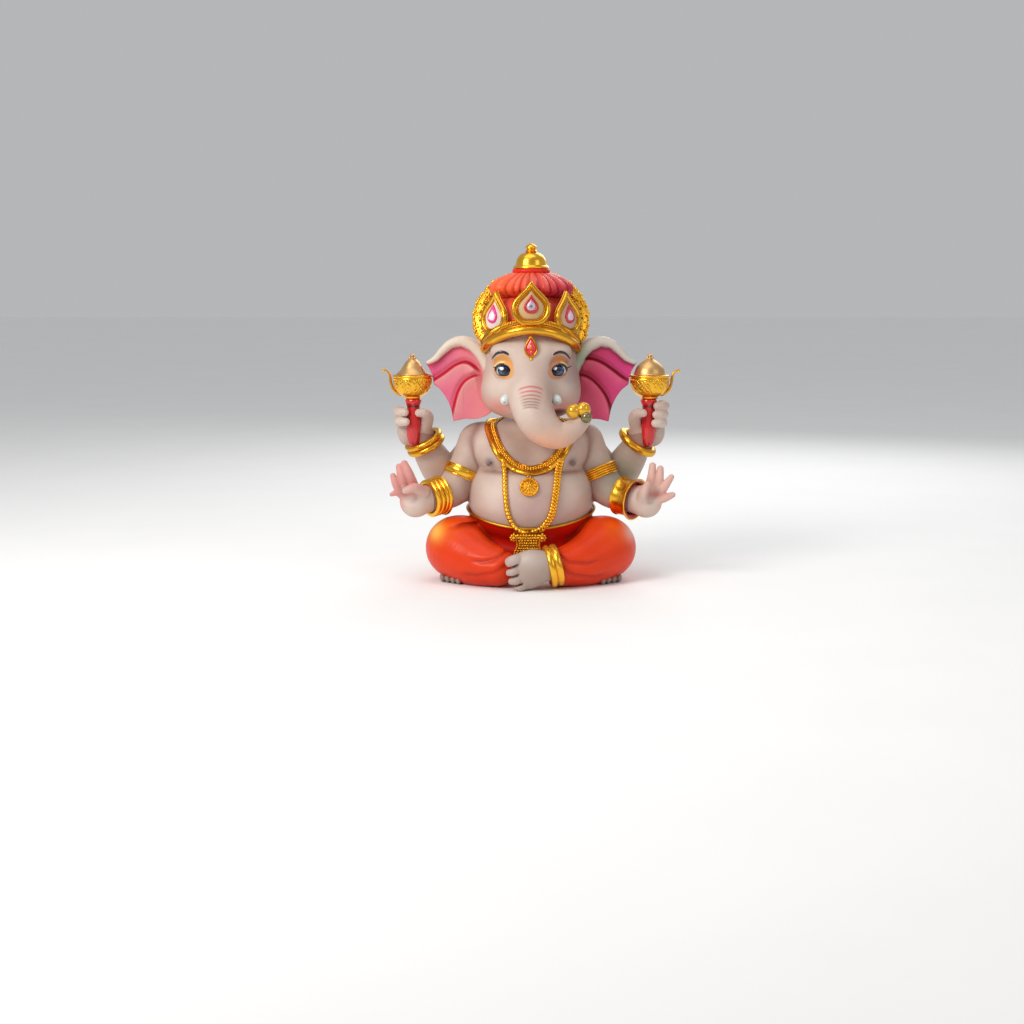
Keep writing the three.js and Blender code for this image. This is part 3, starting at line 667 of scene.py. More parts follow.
def face_paint(v, n):
    """One coat for head and trunk, so the join between them doesn't show."""
    # Painted highlights on the idol's right cheek, the forehead, the left cheek and the top of the trunk.
    colour = dab(SKIN_BASE, v, (
        (SKIN_HIGHLIGHT, 0.75, (-14, -20, 97), (9, 14, 9)),
        (SKIN_HIGHLIGHT, 0.85, (-2, -22, 117), (15, 12, 7)),
        (SKIN_HIGHLIGHT, 0.6, (16, -18, 97), (6, 14, 8)),
        (SKIN_HIGHLIGHT, 0.75, (-4, -34, 90), (6, 16, 13)),
    ))
    for _, side in SIDES:
        cheek = 0.85 if side < 0 else 0.7
        colour = blend_colours(colour, SKIN_ROSE, cheek * patch(v, (side * 16, -17, 86), (8, 12, 4.6)))
        colour = eye_shadow(colour, v, side)
    # Painted shade between the idol's left brow and eye and over the left side of the head, and a peach tone
    # under the trunk's curl.
    colour = dab(colour, v, (
        (srgb(158, 132, 126), 0.5, (9.6, -20, 108), (2.6, 8, 8)),
        (srgb(146, 128, 128), 0.55, (21, -10, 104), (6, 16, 16)),
        (SKIN_PEACH, 0.95, (8, -38, 69.5), (14, 14, 7)),
    ))
    # The mouth's recess is painted dark: painted shade.
    depth = ((v[:, 0] - 14) / 7.4) ** 2 + ((v[:, 1] + 19.5) / 8.2) ** 2 + ((v[:, 2] - 81) / 3.9) ** 2
    mouth = np.clip((1.2 - np.sqrt(depth)) / 0.3, 0, 1) * (v[:, 1] > -29)
    colour = blend_colours(colour, MOUTH_DARK, mouth)
    return crease_paint(colour, v, n)


def eye_shadow(colour, v, side):
    """Ochre paint from the brow down round the eye, darker on the idol's left as painted shade, with a pale
    painted highlight above the lashes.
    """
    across, up = side * v[:, 0] - EYE[0], v[:, 2] - EYE[2]
    front = v[:, 1] < -10
    upper = np.clip((1.06 - np.hypot(across / 5, (up - 2.1) / 6)) * 6, 0, 1)
    lower = np.clip((1.1 - np.hypot((across + 1.1) / 4.4, (up + 0.3) / 3.9)) * 5, 0, 1)
    # The ochre on the idol's left eye is darker: painted shade on the side away from the key light.
    ochre = srgb(222, 152, 72) if side < 0 else srgb(196, 118, 56)
    colour = blend_colours(colour, ochre, 0.95 * np.maximum(upper, 0.85 * lower) * front)
    # A painted highlight: a pale line above the lashes.
    glow = np.exp(-(((np.hypot(across / 4.4, up / 4) - 1) / 0.13) ** 2)) * np.clip(up / 2, 0, 1) * front
    glow = glow * np.clip((across + (1.6 if side < 0 else -0.2)) / 1.6, 0, 1)
    return blend_colours(colour, srgb(252, 230, 158), 0.9 * glow)


def crease_paint(colour, v, n):
    """The lines across the trunk, red above and brown below."""
    front = np.clip(-n[:, 1], 0, 1) * (v[:, 1] < -24)
    lines = (
        srgb(214, 30, 52), srgb(204, 66, 76), srgb(182, 92, 86), srgb(160, 104, 92), srgb(150, 106, 94),
        srgb(150, 110, 98), srgb(158, 122, 110),
    )
    for (z, _), line in zip(CREASES, lines):
        arc = z - 0.045 * v[:, 0] ** 2
        reach = np.clip((7 - (97 - z) * 0.22 - np.abs(v[:, 0])) / 2.4, 0, 1)
        colour = blend_colours(
            colour, line, 0.95 * reach * front * np.exp(-(((v[:, 2] - arc) / 0.44) ** 2)),
        )
    return colour


# ---------------------------------------------------------------- casting the body

def cast_skin(name, own, others, low, high, step, replaces, tint, *how):
    return cast(name, own, others, low, high, step, SKIN, "skin", replaces, tint, *how)


def box_on(side, across, deep, tall):
    """The low and high corners of a box on one side, from its ranges in x, y and z."""
    near, far = sorted(side * x for x in across)
    return (near, deep[0], tall[0]), (far, deep[1], tall[1])


def make_body():
    limbs = [make(side) for _, side in SIDES for make in (front_arm, rear_arm)]
    cast_skin("torso_casting", torso, limbs, (-38, -34, 12), (38, 32, 92), 0.5, ("torso",), body_paint, 3)
    for word, side in SIDES:
        front, rear = front_arm(side), rear_arm(side)
        palm, fist = front_hand(word, side), rear_hand(word, side)
        arm = arm_paint(side)
        low, high = box_on(side, (14, 56), (-24, 18), (30, 80))
        cast_skin(
            f"front_arm_casting_{word}", front, [torso, palm, rear], low, high, 0.5, (f"front_arm_{word}",),
            arm, 3,
        )
        low, high = box_on(side, (12, 64), (-6, 26), (36, 80))
        cast_skin(
            f"rear_arm_casting_{word}", rear, [torso, fist, front], low, high, 0.5, (f"rear_arm_{word}",),
            arm, 3,
        )
        low, high = box_on(side, (42, 73), (-31, -8), (29, 64))
        cast_skin(
            f"front_hand_casting_{word}", palm, [front], low, high, 0.34, (f"front_hand_{word}",),
            hand_paint(side), 3, 0.3,
        )
        low, high = box_on(side, (46, 72), (-11, 13), (60, 88))
        cast_skin(
            f"rear_hand_casting_{word}", fist, [rear], low, high, 0.34, (f"rear_hand_{word}",),
            fist_paint(side), 3, 0.3,
        )


def make_head():
    cast_skin(
        "head_casting", head, [trunk], (-27, -28, 76), (27, 27, 133), 0.42, ("head",), face_paint, 9, 0,
        0.3, eye_openings,
    )
    cast_skin(
        "trunk_casting", trunk, [head], (-14, -50, 62), (32, -4, 118), 0.4, ("trunk",), face_paint, 9, 0,
        0.3,
    )


make_body()
make_head()


# ---------------------------------------------------------------- dhoti and feet

WAIST = {"front": 27, "side": 34, "back": 36}
# Creases in the legs, drawn as seen from the front, on the +X side: points of (x, z), depth and width.
LEG_CREASES = (
    (((13, 16.4), (19, 13.4), (27, 12.4), (36, 14)), 0.75, 1.1),
    (((14, 11), (21, 7.4), (30, 5.6), (39, 6.4)), 0.7, 1.2),
    (((15, 21), (21, 22.6), (28, 25.6)), 0.4, 1.3),
)
# The right thigh has its folds a little differently.
RIGHT_CREASES = (
    (((12, 17.4), (17, 14.6), (23, 13.2), (30, 13.4)), 0.7, 1.1),
    (((12, 11.6), (18, 8.4), (26, 6.6), (36, 7)), 0.7, 1.2),
    (((27, 27.8), (33, 28.4), (41, 27)), 1.0, 0.9),
    (((14, 20.4), (20, 22), (26, 25)), 0.35, 1.3),
)
# Creases over the outside of the thigh and hip, drawn as seen from the side: points of (y, z).
HIP_CREASES = (
    (((-22, 22), (-10, 25), (4, 23), (16, 17)), 0.6, 1.3),
    (((-18, 13), (-6, 16), (8, 14), (20, 9)), 0.7, 1.3),
    (((-12, 6), (2, 7.5), (14, 5)), 0.6, 1.1),
)


def hem_height(angle):
    """Height of the dhoti's hem at an angle round the belly, measured from its front."""
    frontness = (1 + np.cos(angle)) / 2
    base = WAIST["back"] + (WAIST["front"] - WAIST["back"]) * frontness
    return base + (WAIST["side"] - (WAIST["front"] + WAIST["back"]) / 2) * np.sin(angle) ** 2


def folds(u, v, creases):
    """How far the cloth dips or swells: a groove with a soft roll of cloth beside it."""
    total = 0
    for points, depth, width in creases:
        ends = np.hypot(u - points[-1][0], v - points[-1][1])
        gone = np.clip(ends / 6, 0, 1)
        gap = near_line(u, v, points)
        above = near_line(u, v - 1.9 * width, points)
        roll = 0.5 * np.exp(-((above / (1.7 * width)) ** 2))
        total = total + gone * depth * (np.exp(-((gap / width) ** 2)) - roll)
    return total


def leg(side):
    stations = mirrored(THIGH, side)
    creases = LEG_CREASES if side > 0 else RIGHT_CREASES

    def field(p):
        body = limb(p, stations, 40)
        front = np.clip((-p[1] - 4) / 8, 0, 1)
        outer = np.clip((side * p[0] - 30) / 8, 0, 1)
        body = body + front * folds(side * p[0], p[2], creases)
        return body + outer * (1 - front) * folds(p[1], p[2], HIP_CREASES)

    return field


def seat(p):
    """The cloth round the hips, with a cup for the belly and soft drapes behind."""
    shell = ball(p, BELLY[0], [r + 1.1 for r in BELLY[1]])
    shell = np.maximum(shell, p[2] - hem_height(np.arctan2(p[0], -(p[1] + 1))))
    hips = ball(p, (0, 6, 13), (33, 27, 20))
    angle = np.arctan2(p[0], p[1])
    drape = 0.45 * np.sin(9 * angle + 0.16 * p[2]) + 0.3 * np.sin(17 * angle - 0.2 * p[2] + 1)
    fade = np.clip((p[1] - 6) / 10, 0, 1) * np.clip((30 - p[2]) / 12, 0, 1)
    return melt(shell, hips + drape * fade, 3)


ORANGE = srgb(226, 58, 2)
ORANGE_LIGHT = srgb(244, 104, 14)
ORANGE_DEEP = srgb(184, 32, 4)
CORAL_RED = srgb(212, 30, 10)


def leg_paint(side):
    def paint(v, n):
        # Painted highlight, a lighter orange, over the knee.
        colour = blend_colours(ORANGE, ORANGE_LIGHT, 0.75 * patch(v, (side * 44, -18, 26), (9, 14, 6)))
        # A brighter painted highlight on each knee, golden on the right and pale pink on the left.
        crown = (-46, -20, 24.5) if side < 0 else (49, -16, 24)
        glow = srgb(255, 204, 90) if side < 0 else srgb(250, 200, 186)
        colour = blend_colours(colour, glow, 0.85 * patch(v, crown, (4, 9, 4.4)))
        # Painted shade towards the bottom.
        low = np.clip((7 - v[:, 2]) / 8, 0, 1)
        colour = blend_colours(colour, ORANGE_DEEP, 0.75 * low)
        # Painted shade in the creases.
        creases = LEG_CREASES if side > 0 else RIGHT_CREASES
        dip = np.clip(folds(side * v[:, 0], v[:, 2], creases), 0, 1) * np.clip((-v[:, 1] - 4) / 8, 0, 1)
        return blend_colours(colour, srgb(150, 20, 6), 0.75 * dip)

    return paint


def seat_paint(v, n):
    front = np.clip((-v[:, 1] + 4) / 12, 0, 1)
    colour = blend_colours(ORANGE, CORAL_RED, 0.35 + 0.65 * front)
    # Painted shade towards the floor.
    return blend_colours(colour, srgb(140, 14, 6), 0.6 * np.clip((12 - v[:, 2]) / 14, 0, 1))


# The front foot's toes, from a root to a tip, and the gaps between them in (x, z).
FRONT_TOES = (
    ((-5.6, -46.6, 15.4, 2.6), (-7.8, -48.2, 14.9, 2.9), (-9.8, -47.9, 14.2, 2.6)),
    ((-5.8, -46.8, 10.2, 2.3), (-8, -48.6, 9.6, 2.4), (-9.9, -48.2, 9.1, 2)),
    ((-4.6, -46.8, 5.8, 2.2), (-6.8, -48.5, 5.2, 2.3), (-8.8, -48, 4.8, 2)),
    ((-2.6, -46.6, 2.6, 1.9), (-4.6, -48.2, 2, 1.9), (-6.4, -47.8, 1.7, 1.6)),
)
TOE_GAPS = (
    ((-12.4, 10.9), (-9.4, 11.5), (-6.4, 13.1)), ((-12, 6.9), (-9, 7.1), (-6.2, 8.2)),
    ((-10.6, 2.6), (-7, 2.8), (-4.2, 3.6)),
)


def foot(p):
    """The crossed foot, flat on top, with its toes stacked down one side."""
    sole = ball(p, (-1.6, -45.2, 9.4), (8, 5, 9))
    sole = melt(sole, ball(p, (3.4, -44.6, 11.8), (8, 5.2, 6.8)), 4)
    sole = melt(sole, ball(p, (0, -44.6, 13.8), (8.4, 4.8, 4.6)), 3)
    sole = melt(sole, limb(p, ((2, -44.2, 11, 6.2), (9, -41.6, 11, 6.6)), 2), 4)
    for toe in FRONT_TOES:
        sole = melt(sole, limb(p, toe, 8), 0.6)
    for gap in TOE_GAPS:
        sole = sole + 0.7 * np.exp(-((near_line(p[0], p[2], gap) / 0.5) ** 2)) * (p[1] < -42)
    return sole


def toes(side):
    def field(p):
        whole = np.inf
        for i in range(4):
            at = (side * (43.4 - 2.7 * i), -20.6 - 2.3 * i, 2.1)
            whole = melt(whole, ball(p, at, (1.6, 4.6, 2.1)), 0.6)
        return whole

    return field


def foot_paint(v, n):
    # Painted highlights: paler on the top of the foot and on the toes.
    colour = blend_colours(
        srgb(178, 156, 144), srgb(204, 188, 178), 0.7 * patch(v, (-2, -50, 16), (9, 6, 4)),
    )
    colour = blend_colours(colour, srgb(196, 172, 166), 0.6 * patch(v, (-10, -50, 12), (4, 6, 9)))
    # Painted shade in the gaps between the toes.
    gaps = np.zeros(len(v))
    for gap in TOE_GAPS:
        gaps = np.maximum(gaps, np.exp(-((near_line(v[:, 0], v[:, 2], gap) / 0.4) ** 2)))
    return blend_colours(colour, srgb(66, 42, 38), 0.85 * gaps)


def toe_paint(v, n):
    # Painted shade: the tucked toes under the legs are darker than the skin.
    return np.broadcast_to(srgb(158, 132, 122), v.shape)


def make_cloth_and_feet():
    legs = [leg(side) for _, side in SIDES]
    cast(
        "seat_cloth", seat, legs, (-36, -32, 0), (36, 35, 38), 0.5, CLOTH, "cloth_red", ("dhoti_seat",),
        seat_paint, 2,
    )
    for word, side in SIDES:
        low, high = box_on(side, (2, 55), (-48, 24), (0, 35))
        own = leg(side)
        cast(
            f"leg_cloth_{word}", own, [seat], low, high, 0.5, CLOTH, "cloth_orange", (f"dhoti_leg_{word}",),
            leg_paint(side), 1.5,
        )
        low, high = box_on(side, (32, 52), (-36, -12), (0, 7))
        cast_skin(
            f"toes_casting_{word}", toes(side), [], low, high, 0.25, (f"tucked_toes_{word}",), toe_paint,
        )
    cast_skin("foot_casting", foot, [], (-16, -54, 0), (20, -33, 20), 0.28, ("front_foot",), foot_paint)


make_cloth_and_feet()


# ---------------------------------------------------------------- meshes made by hand

def grid_faces(rows, columns, wrap_rows=False, wrap_columns=False, offset=0):
    """Quads over a grid of points, closed in either direction if asked."""
    i = np.arange(rows if wrap_rows else rows - 1)
    j = np.arange(columns if wrap_columns else columns - 1)
    i, j = np.meshgrid(i, j, indexing="ij")
    after_i, after_j = (i + 1) % rows, (j + 1) % columns
    quads = np.stack(
        [i * columns + j, after_i * columns + j, after_i * columns + after_j, i * columns + after_j], -1,
    )
    return quads.reshape(-1, 4) + offset


class Shape:
    """Points, faces and colours being gathered into one piece."""

    def __init__(self):
        self.points, self.faces, self.tints, self.count = [], [], [], 0

    def add(self, points, faces, tint=(1, 1, 1)):
        points = np.asarray(points, float).reshape(-1, 3)
        self.points.append(points)
        self.faces.extend(tuple(int(k) + self.count for k in face) for face in faces)
        self.tints.append(np.broadcast_to(tint, points.shape))
        self.count += len(points)
        return self

    def build(self, name, material, slot, replaces=()):
        return build(
            name, np.vstack(self.points), self.faces, material, replaces, np.vstack(self.tints),
        )


def lathe(profile, segments=48, warp=None):
    """A closed turned shape about +Z from (radius, height) pairs; warp(angle, r, z) gives new r and z."""
    profile = np.asarray(profile, float)
    angle = np.linspace(0, 2 * math.pi, segments, endpoint=False)[:, None]
    r = np.broadcast_to(profile[:, 0], (segments, len(profile)))
    z = np.broadcast_to(profile[:, 1], r.shape)
    if warp:
        r, z = warp(angle, r, z)
    points = np.stack([r * np.sin(angle), -r * np.cos(angle), z], -1).reshape(-1, 3)
    faces = [tuple(f) for f in grid_faces(segments, len(profile), wrap_rows=True)]
    rim = np.arange(segments) * len(profile)
    faces.append(tuple(rim))
    faces.append(tuple(rim[::-1] + len(profile) - 1))
    return points, faces


def frames_on(line, outward, closed=False):
    """Side and out directions along a line, where out is as close as it can be to outward."""
    if closed:
        tangent = np.roll(line, -1, 0) - np.roll(line, 1, 0)
    else:
        tangent = np.gradient(line, axis=0)
    tangent /= np.linalg.norm(tangent, axis=1, keepdims=True)
    out = outward - np.sum(outward * tangent, 1, keepdims=True) * tangent
    out /= np.linalg.norm(out, axis=1, keepdims=True)
    return np.cross(out, tangent), out


def sweep(line, outward, section, closed=False, scale=None):
    """A section of (side, out) points carried along a line; scale(i) may change it on the way."""
    line = np.asarray(line, float)
    side, out = frames_on(line, np.broadcast_to(outward, line.shape), closed)
    rings = []
    for i in range(len(line)):
        ring = np.asarray(section, float) * (scale(i) if scale else 1)
        rings.append(line[i] + ring[:, :1] * side[i] + ring[:, 1:] * out[i])
    count = len(section)
    faces = [tuple(f) for f in grid_faces(len(line), count, closed, True)]
    if not closed:
        faces.append(tuple(range(count))[::-1])
        faces.append(tuple(range((len(line) - 1) * count, len(line) * count)))
    return np.vstack(rings), faces


def circle(radius, count=12, squash=1.0):
    """A round section, squashed across."""
    t = np.linspace(0, 2 * math.pi, count, endpoint=False)
    return np.stack([radius * np.cos(t), radius * squash * np.sin(t)], 1)


def tapered(start, end, shares):
    """A scale for sweep that narrows towards both ends of a line of so many points."""
    return lambda i: max(0.06, min(1, (i + 0.3) / start, (shares - i - 0.7) / end) ** 0.5)


def bead(radius=1.0, rings=6, segments=10):
    """A small round bead about its own middle."""
    heights = np.cos(np.linspace(0.001, math.pi - 0.001, rings))
    return lathe([(radius * math.sqrt(1 - h * h), -radius * h) for h in heights], segments)


def scatter(shape, seed, places, tint=(1, 1, 1)):
    """Adds a copy of a small shape at each (x, y, z, size)."""
    points, faces = seed
    for x, y, z, size in places:
        shape.add(points * size + (x, y, z), faces, tint)


def facing(normal, up=(0, 0, 1)):
    """Rows: right, up and out for something that faces along normal."""
    out = np.asarray(normal, float) / np.linalg.norm(normal)
    right = np.cross(up, out)
    right /= np.linalg.norm(right)
    return np.stack([right, np.cross(out, right), out])


# ---------------------------------------------------------------- eyes, brows, tusks and sweets

WHITE = srgb(240, 242, 244)
IRIS = srgb(26, 52, 102)
IRIS_RIM = srgb(8, 14, 38)
PUPIL = srgb(6, 8, 16)
LASH = srgb(14, 14, 24)
SWEET_GLAZE = painted(
    "sweet_glaze", 0.14, grain_mm=0.9, grain_depth=0.02, mottle=0.14, metallic=0.55, coat=0.7,
)


def make_eye(word, side):
    """An eyeball whose iris, pupil and catchlight are painted in rings about its gaze."""
    bands = (
        (0, PUPIL), (0.36, PUPIL), (0.42, IRIS), (0.62, IRIS), (0.70, IRIS_RIM), (0.84, IRIS_RIM),
        (0.88, WHITE), (math.pi, WHITE),
    )
    angles = np.concatenate([np.linspace(0.001, 0.9, 46), np.linspace(0.95, math.pi - 0.001, 24)])
    gaze = facing((side * -0.2, -1, -0.02))
    around, rows = 56, len(angles)
    turn = np.linspace(0, 2 * math.pi, around, endpoint=False)[:, None]
    local = np.stack(
        [np.sin(angles) * np.cos(turn), np.sin(angles) * np.sin(turn), np.cos(angles) + 0 * turn], -1,
    ).reshape(-1, 3)
    points = local @ gaze * EYE_RADII + mirrored(EYE, side)
    turned = np.tile(angles, around)
    tint = np.stack(
        [np.interp(turned, [b[0] for b in bands], [b[1][k] for b in bands]) for k in range(3)], 1,
    )
    lower = np.clip(-local[:, 1] * 2.2, 0, 1) * (turned < 0.7) * (turned > 0.4)
    tint = blend_colours(tint, srgb(84, 132, 186), 0.7 * lower)
    glint = np.array([-0.34 if side < 0 else -0.26, 0.3, 0.9])
    spot = np.linalg.norm(local - glint / np.linalg.norm(glint), axis=1)
    tint = blend_colours(tint, WHITE * 1.1, np.clip((0.26 - spot) / 0.06, 0, 1))
    ends = [tuple(np.arange(around) * rows), tuple((np.arange(around) * rows + rows - 1)[::-1])]
    faces = [tuple(f) for f in grid_faces(around, rows, wrap_rows=True)] + ends
    Shape().add(points, faces, tint).build(f"eyeball_{word}", GLOSS, "eye", (f"eye_{word}",))


def on_face(side, points, proud):
    """Points given as (x, z) on the +X side, laid on the face's front."""
    line = smooth_line(points, 28)
    placed = np.stack([side * line[:, 0], np.full(len(line), -24.0), line[:, 1]], 1)
    for _ in range(24):
        placed[:, 1] += 0.7 * (head(placed.T) - proud)
    return placed


def lid_edge(side, angles, grow=0.0):
    """Points on the rim of the opening between the lids, by angle from its outer corner over its top."""
    cos, sin = np.cos(angles), np.sin(angles)
    reach = (np.abs(cos) ** 2.3 + np.abs(sin) ** 2.1) ** (-1 / 2.2)
    across = reach * cos * (3.7 + grow)
    up = reach * sin * np.where(sin > 0, 2.95 + grow, 2.7 + grow) + 0.06 * across
    radii = [r + 0.85 for r in EYE_RADII]
    depth = np.clip(1 - (across / radii[0]) ** 2 - (up / radii[2]) ** 2, 0.03, 1)
    return np.stack([side * (EYE[0] + across), EYE[1] - radii[1] * np.sqrt(depth), EYE[2] + up], 1)


def make_lids(word, side):
    """The painted brow, and the black lash line along the upper lid with its flick at the outer end."""
    brow = on_face(side, ((8.9, 109.4), (10.9, 111.8), (14, 113), (17, 112), (19.2, 109.2)), 0.1)
    shape = Shape()
    shape.add(*sweep(brow, (0, -1, 0), circle(0.68, 10, 0.5), scale=tapered(11, 11, 28)), LASH)
    lash = lid_edge(side, np.linspace(math.radians(196), math.radians(-14), 40), 0.05)
    shape.add(*sweep(lash, (0, -1, 0), circle(0.56, 10, 0.75), scale=tapered(9, 6, 40)), LASH)
    corner = lash[33]
    length = 1.0 if side > 0 else 0.45
    flick = corner + np.array([(0, 0, 0), (side * 1.5, 0.7, 0.5), (side * 2.7, 1.6, 1.2)]) * length
    shape.add(
        *sweep(smooth_line(flick, 10), (0, -1, 0), circle(0.4, 8, 0.7), scale=tapered(1, 10, 10)), LASH
    )
    lower = lid_edge(side, np.linspace(math.radians(-30), math.radians(-150), 30), 0.02)
    shape.add(*sweep(lower, (0, -1, 0), circle(0.2, 8, 0.7), scale=tapered(9, 9, 30)), srgb(84, 60, 48))
    shape.build(f"brow_and_lash_{word}", GLOSS, "eye")


def make_tusk(word, side):
    line = smooth_line(
        [
            mirrored(s, side)
            for s in ((10.4, -17.5, 90.8), (11.7, -22, 90.4), (12.7, -25.4, 89.7), (13.1, -27.2, 89.2))
        ],
        18,
    )
    shape = Shape()
    sizes = np.sqrt(np.clip(1 - (np.linspace(-0.2, 1, 18) ** 2) ** 1.6, 0.003, 1))
    shape.add(*sweep(line, (0, 0, 1), circle(2.6, 20), scale=lambda i: sizes[i]), srgb(216, 228, 224))
    shape.build(f"tusk_tip_{word}", GLOSS, "tusk_ivory", (f"tusk_{word}",))


def make_sweets():
    """Two gilded sweets, and a smaller olive grey one below."""
    shape = Shape()
    big = lathe([(math.sin(t), -math.cos(t)) for t in np.linspace(0.001, math.pi - 0.001, 24)], 40)
    gold, olive = srgb(232, 172, 16), srgb(124, 114, 70)
    centres = (
        ((20.4, -38.4, 85.6), 3.7, gold), ((25, -38.2, 86.5), 3.6, gold), ((26.4, -40.2, 82.9), 2.8, olive),
    )
    for centre, radius, tint in centres:
        shape.add(big[0] * radius + centre, big[1], tint)
    shape.build("sweets", SWEET_GLAZE, "gold", ("trunk_sweets",))


def make_face():
    for word, side in SIDES:
        make_eye(word, side)
        make_lids(word, side)
        make_tusk(word, side)
    make_sweets()


make_face()


# ---------------------------------------------------------------- ears

# Drawn on the +X side as points of (x, z). The outline starts at the root and goes over the top.
EAR_OUTLINE = (
    (17, 108), (20, 112.5), (24, 116.4), (29, 119), (34.5, 119.9), (40, 118.2), (44.6, 114.6), (48.4, 110),
    (52.4, 106.6), (50.2, 103), (48.9, 99.6), (48.4, 96), (44.6, 92.8), (41.6, 88.2), (39.6, 82.8),
    (38.6, 77.6), (33.4, 78.8), (27, 78.9), (22, 80.6), (18, 84), (15, 92),
)
EAR_RIM = (
    (20.5, 101.5, 2.5), (22.2, 106.5, 2.9), (25, 111.3, 2.9), (29, 115.2, 2.7), (34.6, 117.4, 2.4),
    (40, 116, 2.1), (44, 112.6, 1.8), (47.4, 108.9, 1.4), (51, 106.9, 0.9),
)
EAR_RIDGES = {
    -1: (
        (
            (
                (48.6, 96.4), (47.8, 97.1), (42.7, 100.4), (38.9, 103.3), (36.2, 105), (33.2, 105.9),
                (30.6, 105.2), (27.6, 102.8), (24.6, 100.4),
            ),
            2.3,
        ),
        (
            (
                (38.6, 77.6), (37.6, 82.9), (36.2, 88.8), (34.6, 93.2), (32.2, 96.7), (29.6, 98.5),
                (27.2, 99.3), (23.6, 99.4),
            ),
            2.1,
        ),
    ),
    1: (
        (
            (
                (48.8, 96.4), (44.6, 98.8), (39.6, 102.6), (34.8, 105.8), (30, 107.6), (25.4, 107.6),
                (21, 106.4),
            ),
            2.1,
        ),
        (
            ((38.6, 77.6), (38.4, 83), (36.8, 88.6), (33.6, 93.6), (29.6, 97.6), (25.6, 99.6), (21, 99.8)),
            1.9,
        ),
    ),
}


def beside(u, v, points):
    """Signed distance in one plane from (u, v) to a polyline, and the share along it of the nearest point."""
    best, share = np.full(np.broadcast(u, v).shape, 1e9), 0
    for k, ((au, av), (bu, bv)) in enumerate(zip(points, points[1:])):
        du, dv = bu - au, bv - av
        t = np.clip(((u - au) * du + (v - av) * dv) / (du * du + dv * dv), 0, 1)
        gap = np.hypot(u - au - t * du, v - av - t * dv)
        signed = np.where(du * (v - av) - dv * (u - au) < 0, gap, -gap)
        nearer = gap < np.abs(best)
        share = np.where(nearer, (k + t) / (len(points) - 1), share)
        best = np.where(nearer, signed, best)
    return best, share


def outside(u, v, points):
    """Signed distance in one plane to a closed outline, below 0 inside it."""
    loop = list(points) + [points[0]]
    inside = np.zeros(np.broadcast(u, v).shape, bool)
    for (au, av), (bu, bv) in zip(loop, loop[1:]):
        if av != bv:
            crosses = ((av > v) != (bv > v)) & (u < (bu - au) * (v - av) / (bv - av) + au)
            inside ^= crosses
    return near_line(u, v, loop) * np.where(inside, -1, 1)


def ear_outline():
    """The outline with its smooth runs rounded and its three points left sharp."""
    runs = (EAR_OUTLINE[:9], EAR_OUTLINE[8:12], EAR_OUTLINE[11:16], EAR_OUTLINE[15:])
    points = []
    for run in runs:
        points.extend(smooth_line(run, 4 * len(run))[:-1].tolist())
    return points


def ear_relief(side, u, v):
    """Ridges in the ear's face, each falling away sharply below its crest, and how deep each crease lies."""
    height, crease = 0, 0
    for points, size in EAR_RIDGES[side]:
        line = smooth_line(points, 22).tolist()
        above, share = beside(u, v, line)
        above = above * -1
        size = size * np.clip((1 - share) / 0.16, 0, 1) * np.clip(0.45 + share / 0.25, 0, 1)
        slope = np.exp(-np.maximum(above, 0) / 4.6)
        drop = np.exp(-((np.minimum(above, 0) / 1.05) ** 2))
        height = height + size * np.where(above > 0, slope, drop)
        height = height - 0.4 * size * np.exp(-(((above + 2.1) / 1.3) ** 2))
        crease = np.maximum(crease, size * np.exp(-(((above + 1.25) / 0.85) ** 2)))
    return height, crease


def ear(side):
    outline = ear_outline()
    rim = [(side * x, -4.6 + 0.3 * r, z, r) for x, z, r in EAR_RIM]

    def field(p):
        u, z = side * p[0], p[2]
        edge = outside(u, z, outline)
        height, _ = ear_relief(side, u, z)
        bend = 0.06 * np.maximum(u - 34, 0) ** 1.5
        thin = 1.7 * np.clip(1 + edge / 3.5, 0, 1)
        front = -3.4 - height + bend * 0.6 - p[1]
        back = p[1] - (1.2 - 0.55 * height + bend - thin)
        slab = -melt(-np.maximum(front, edge), -back, 0.9)
        slab = melt(slab, limb(p, rim, 22), 1.1)
        return slab * 0.8

    return field


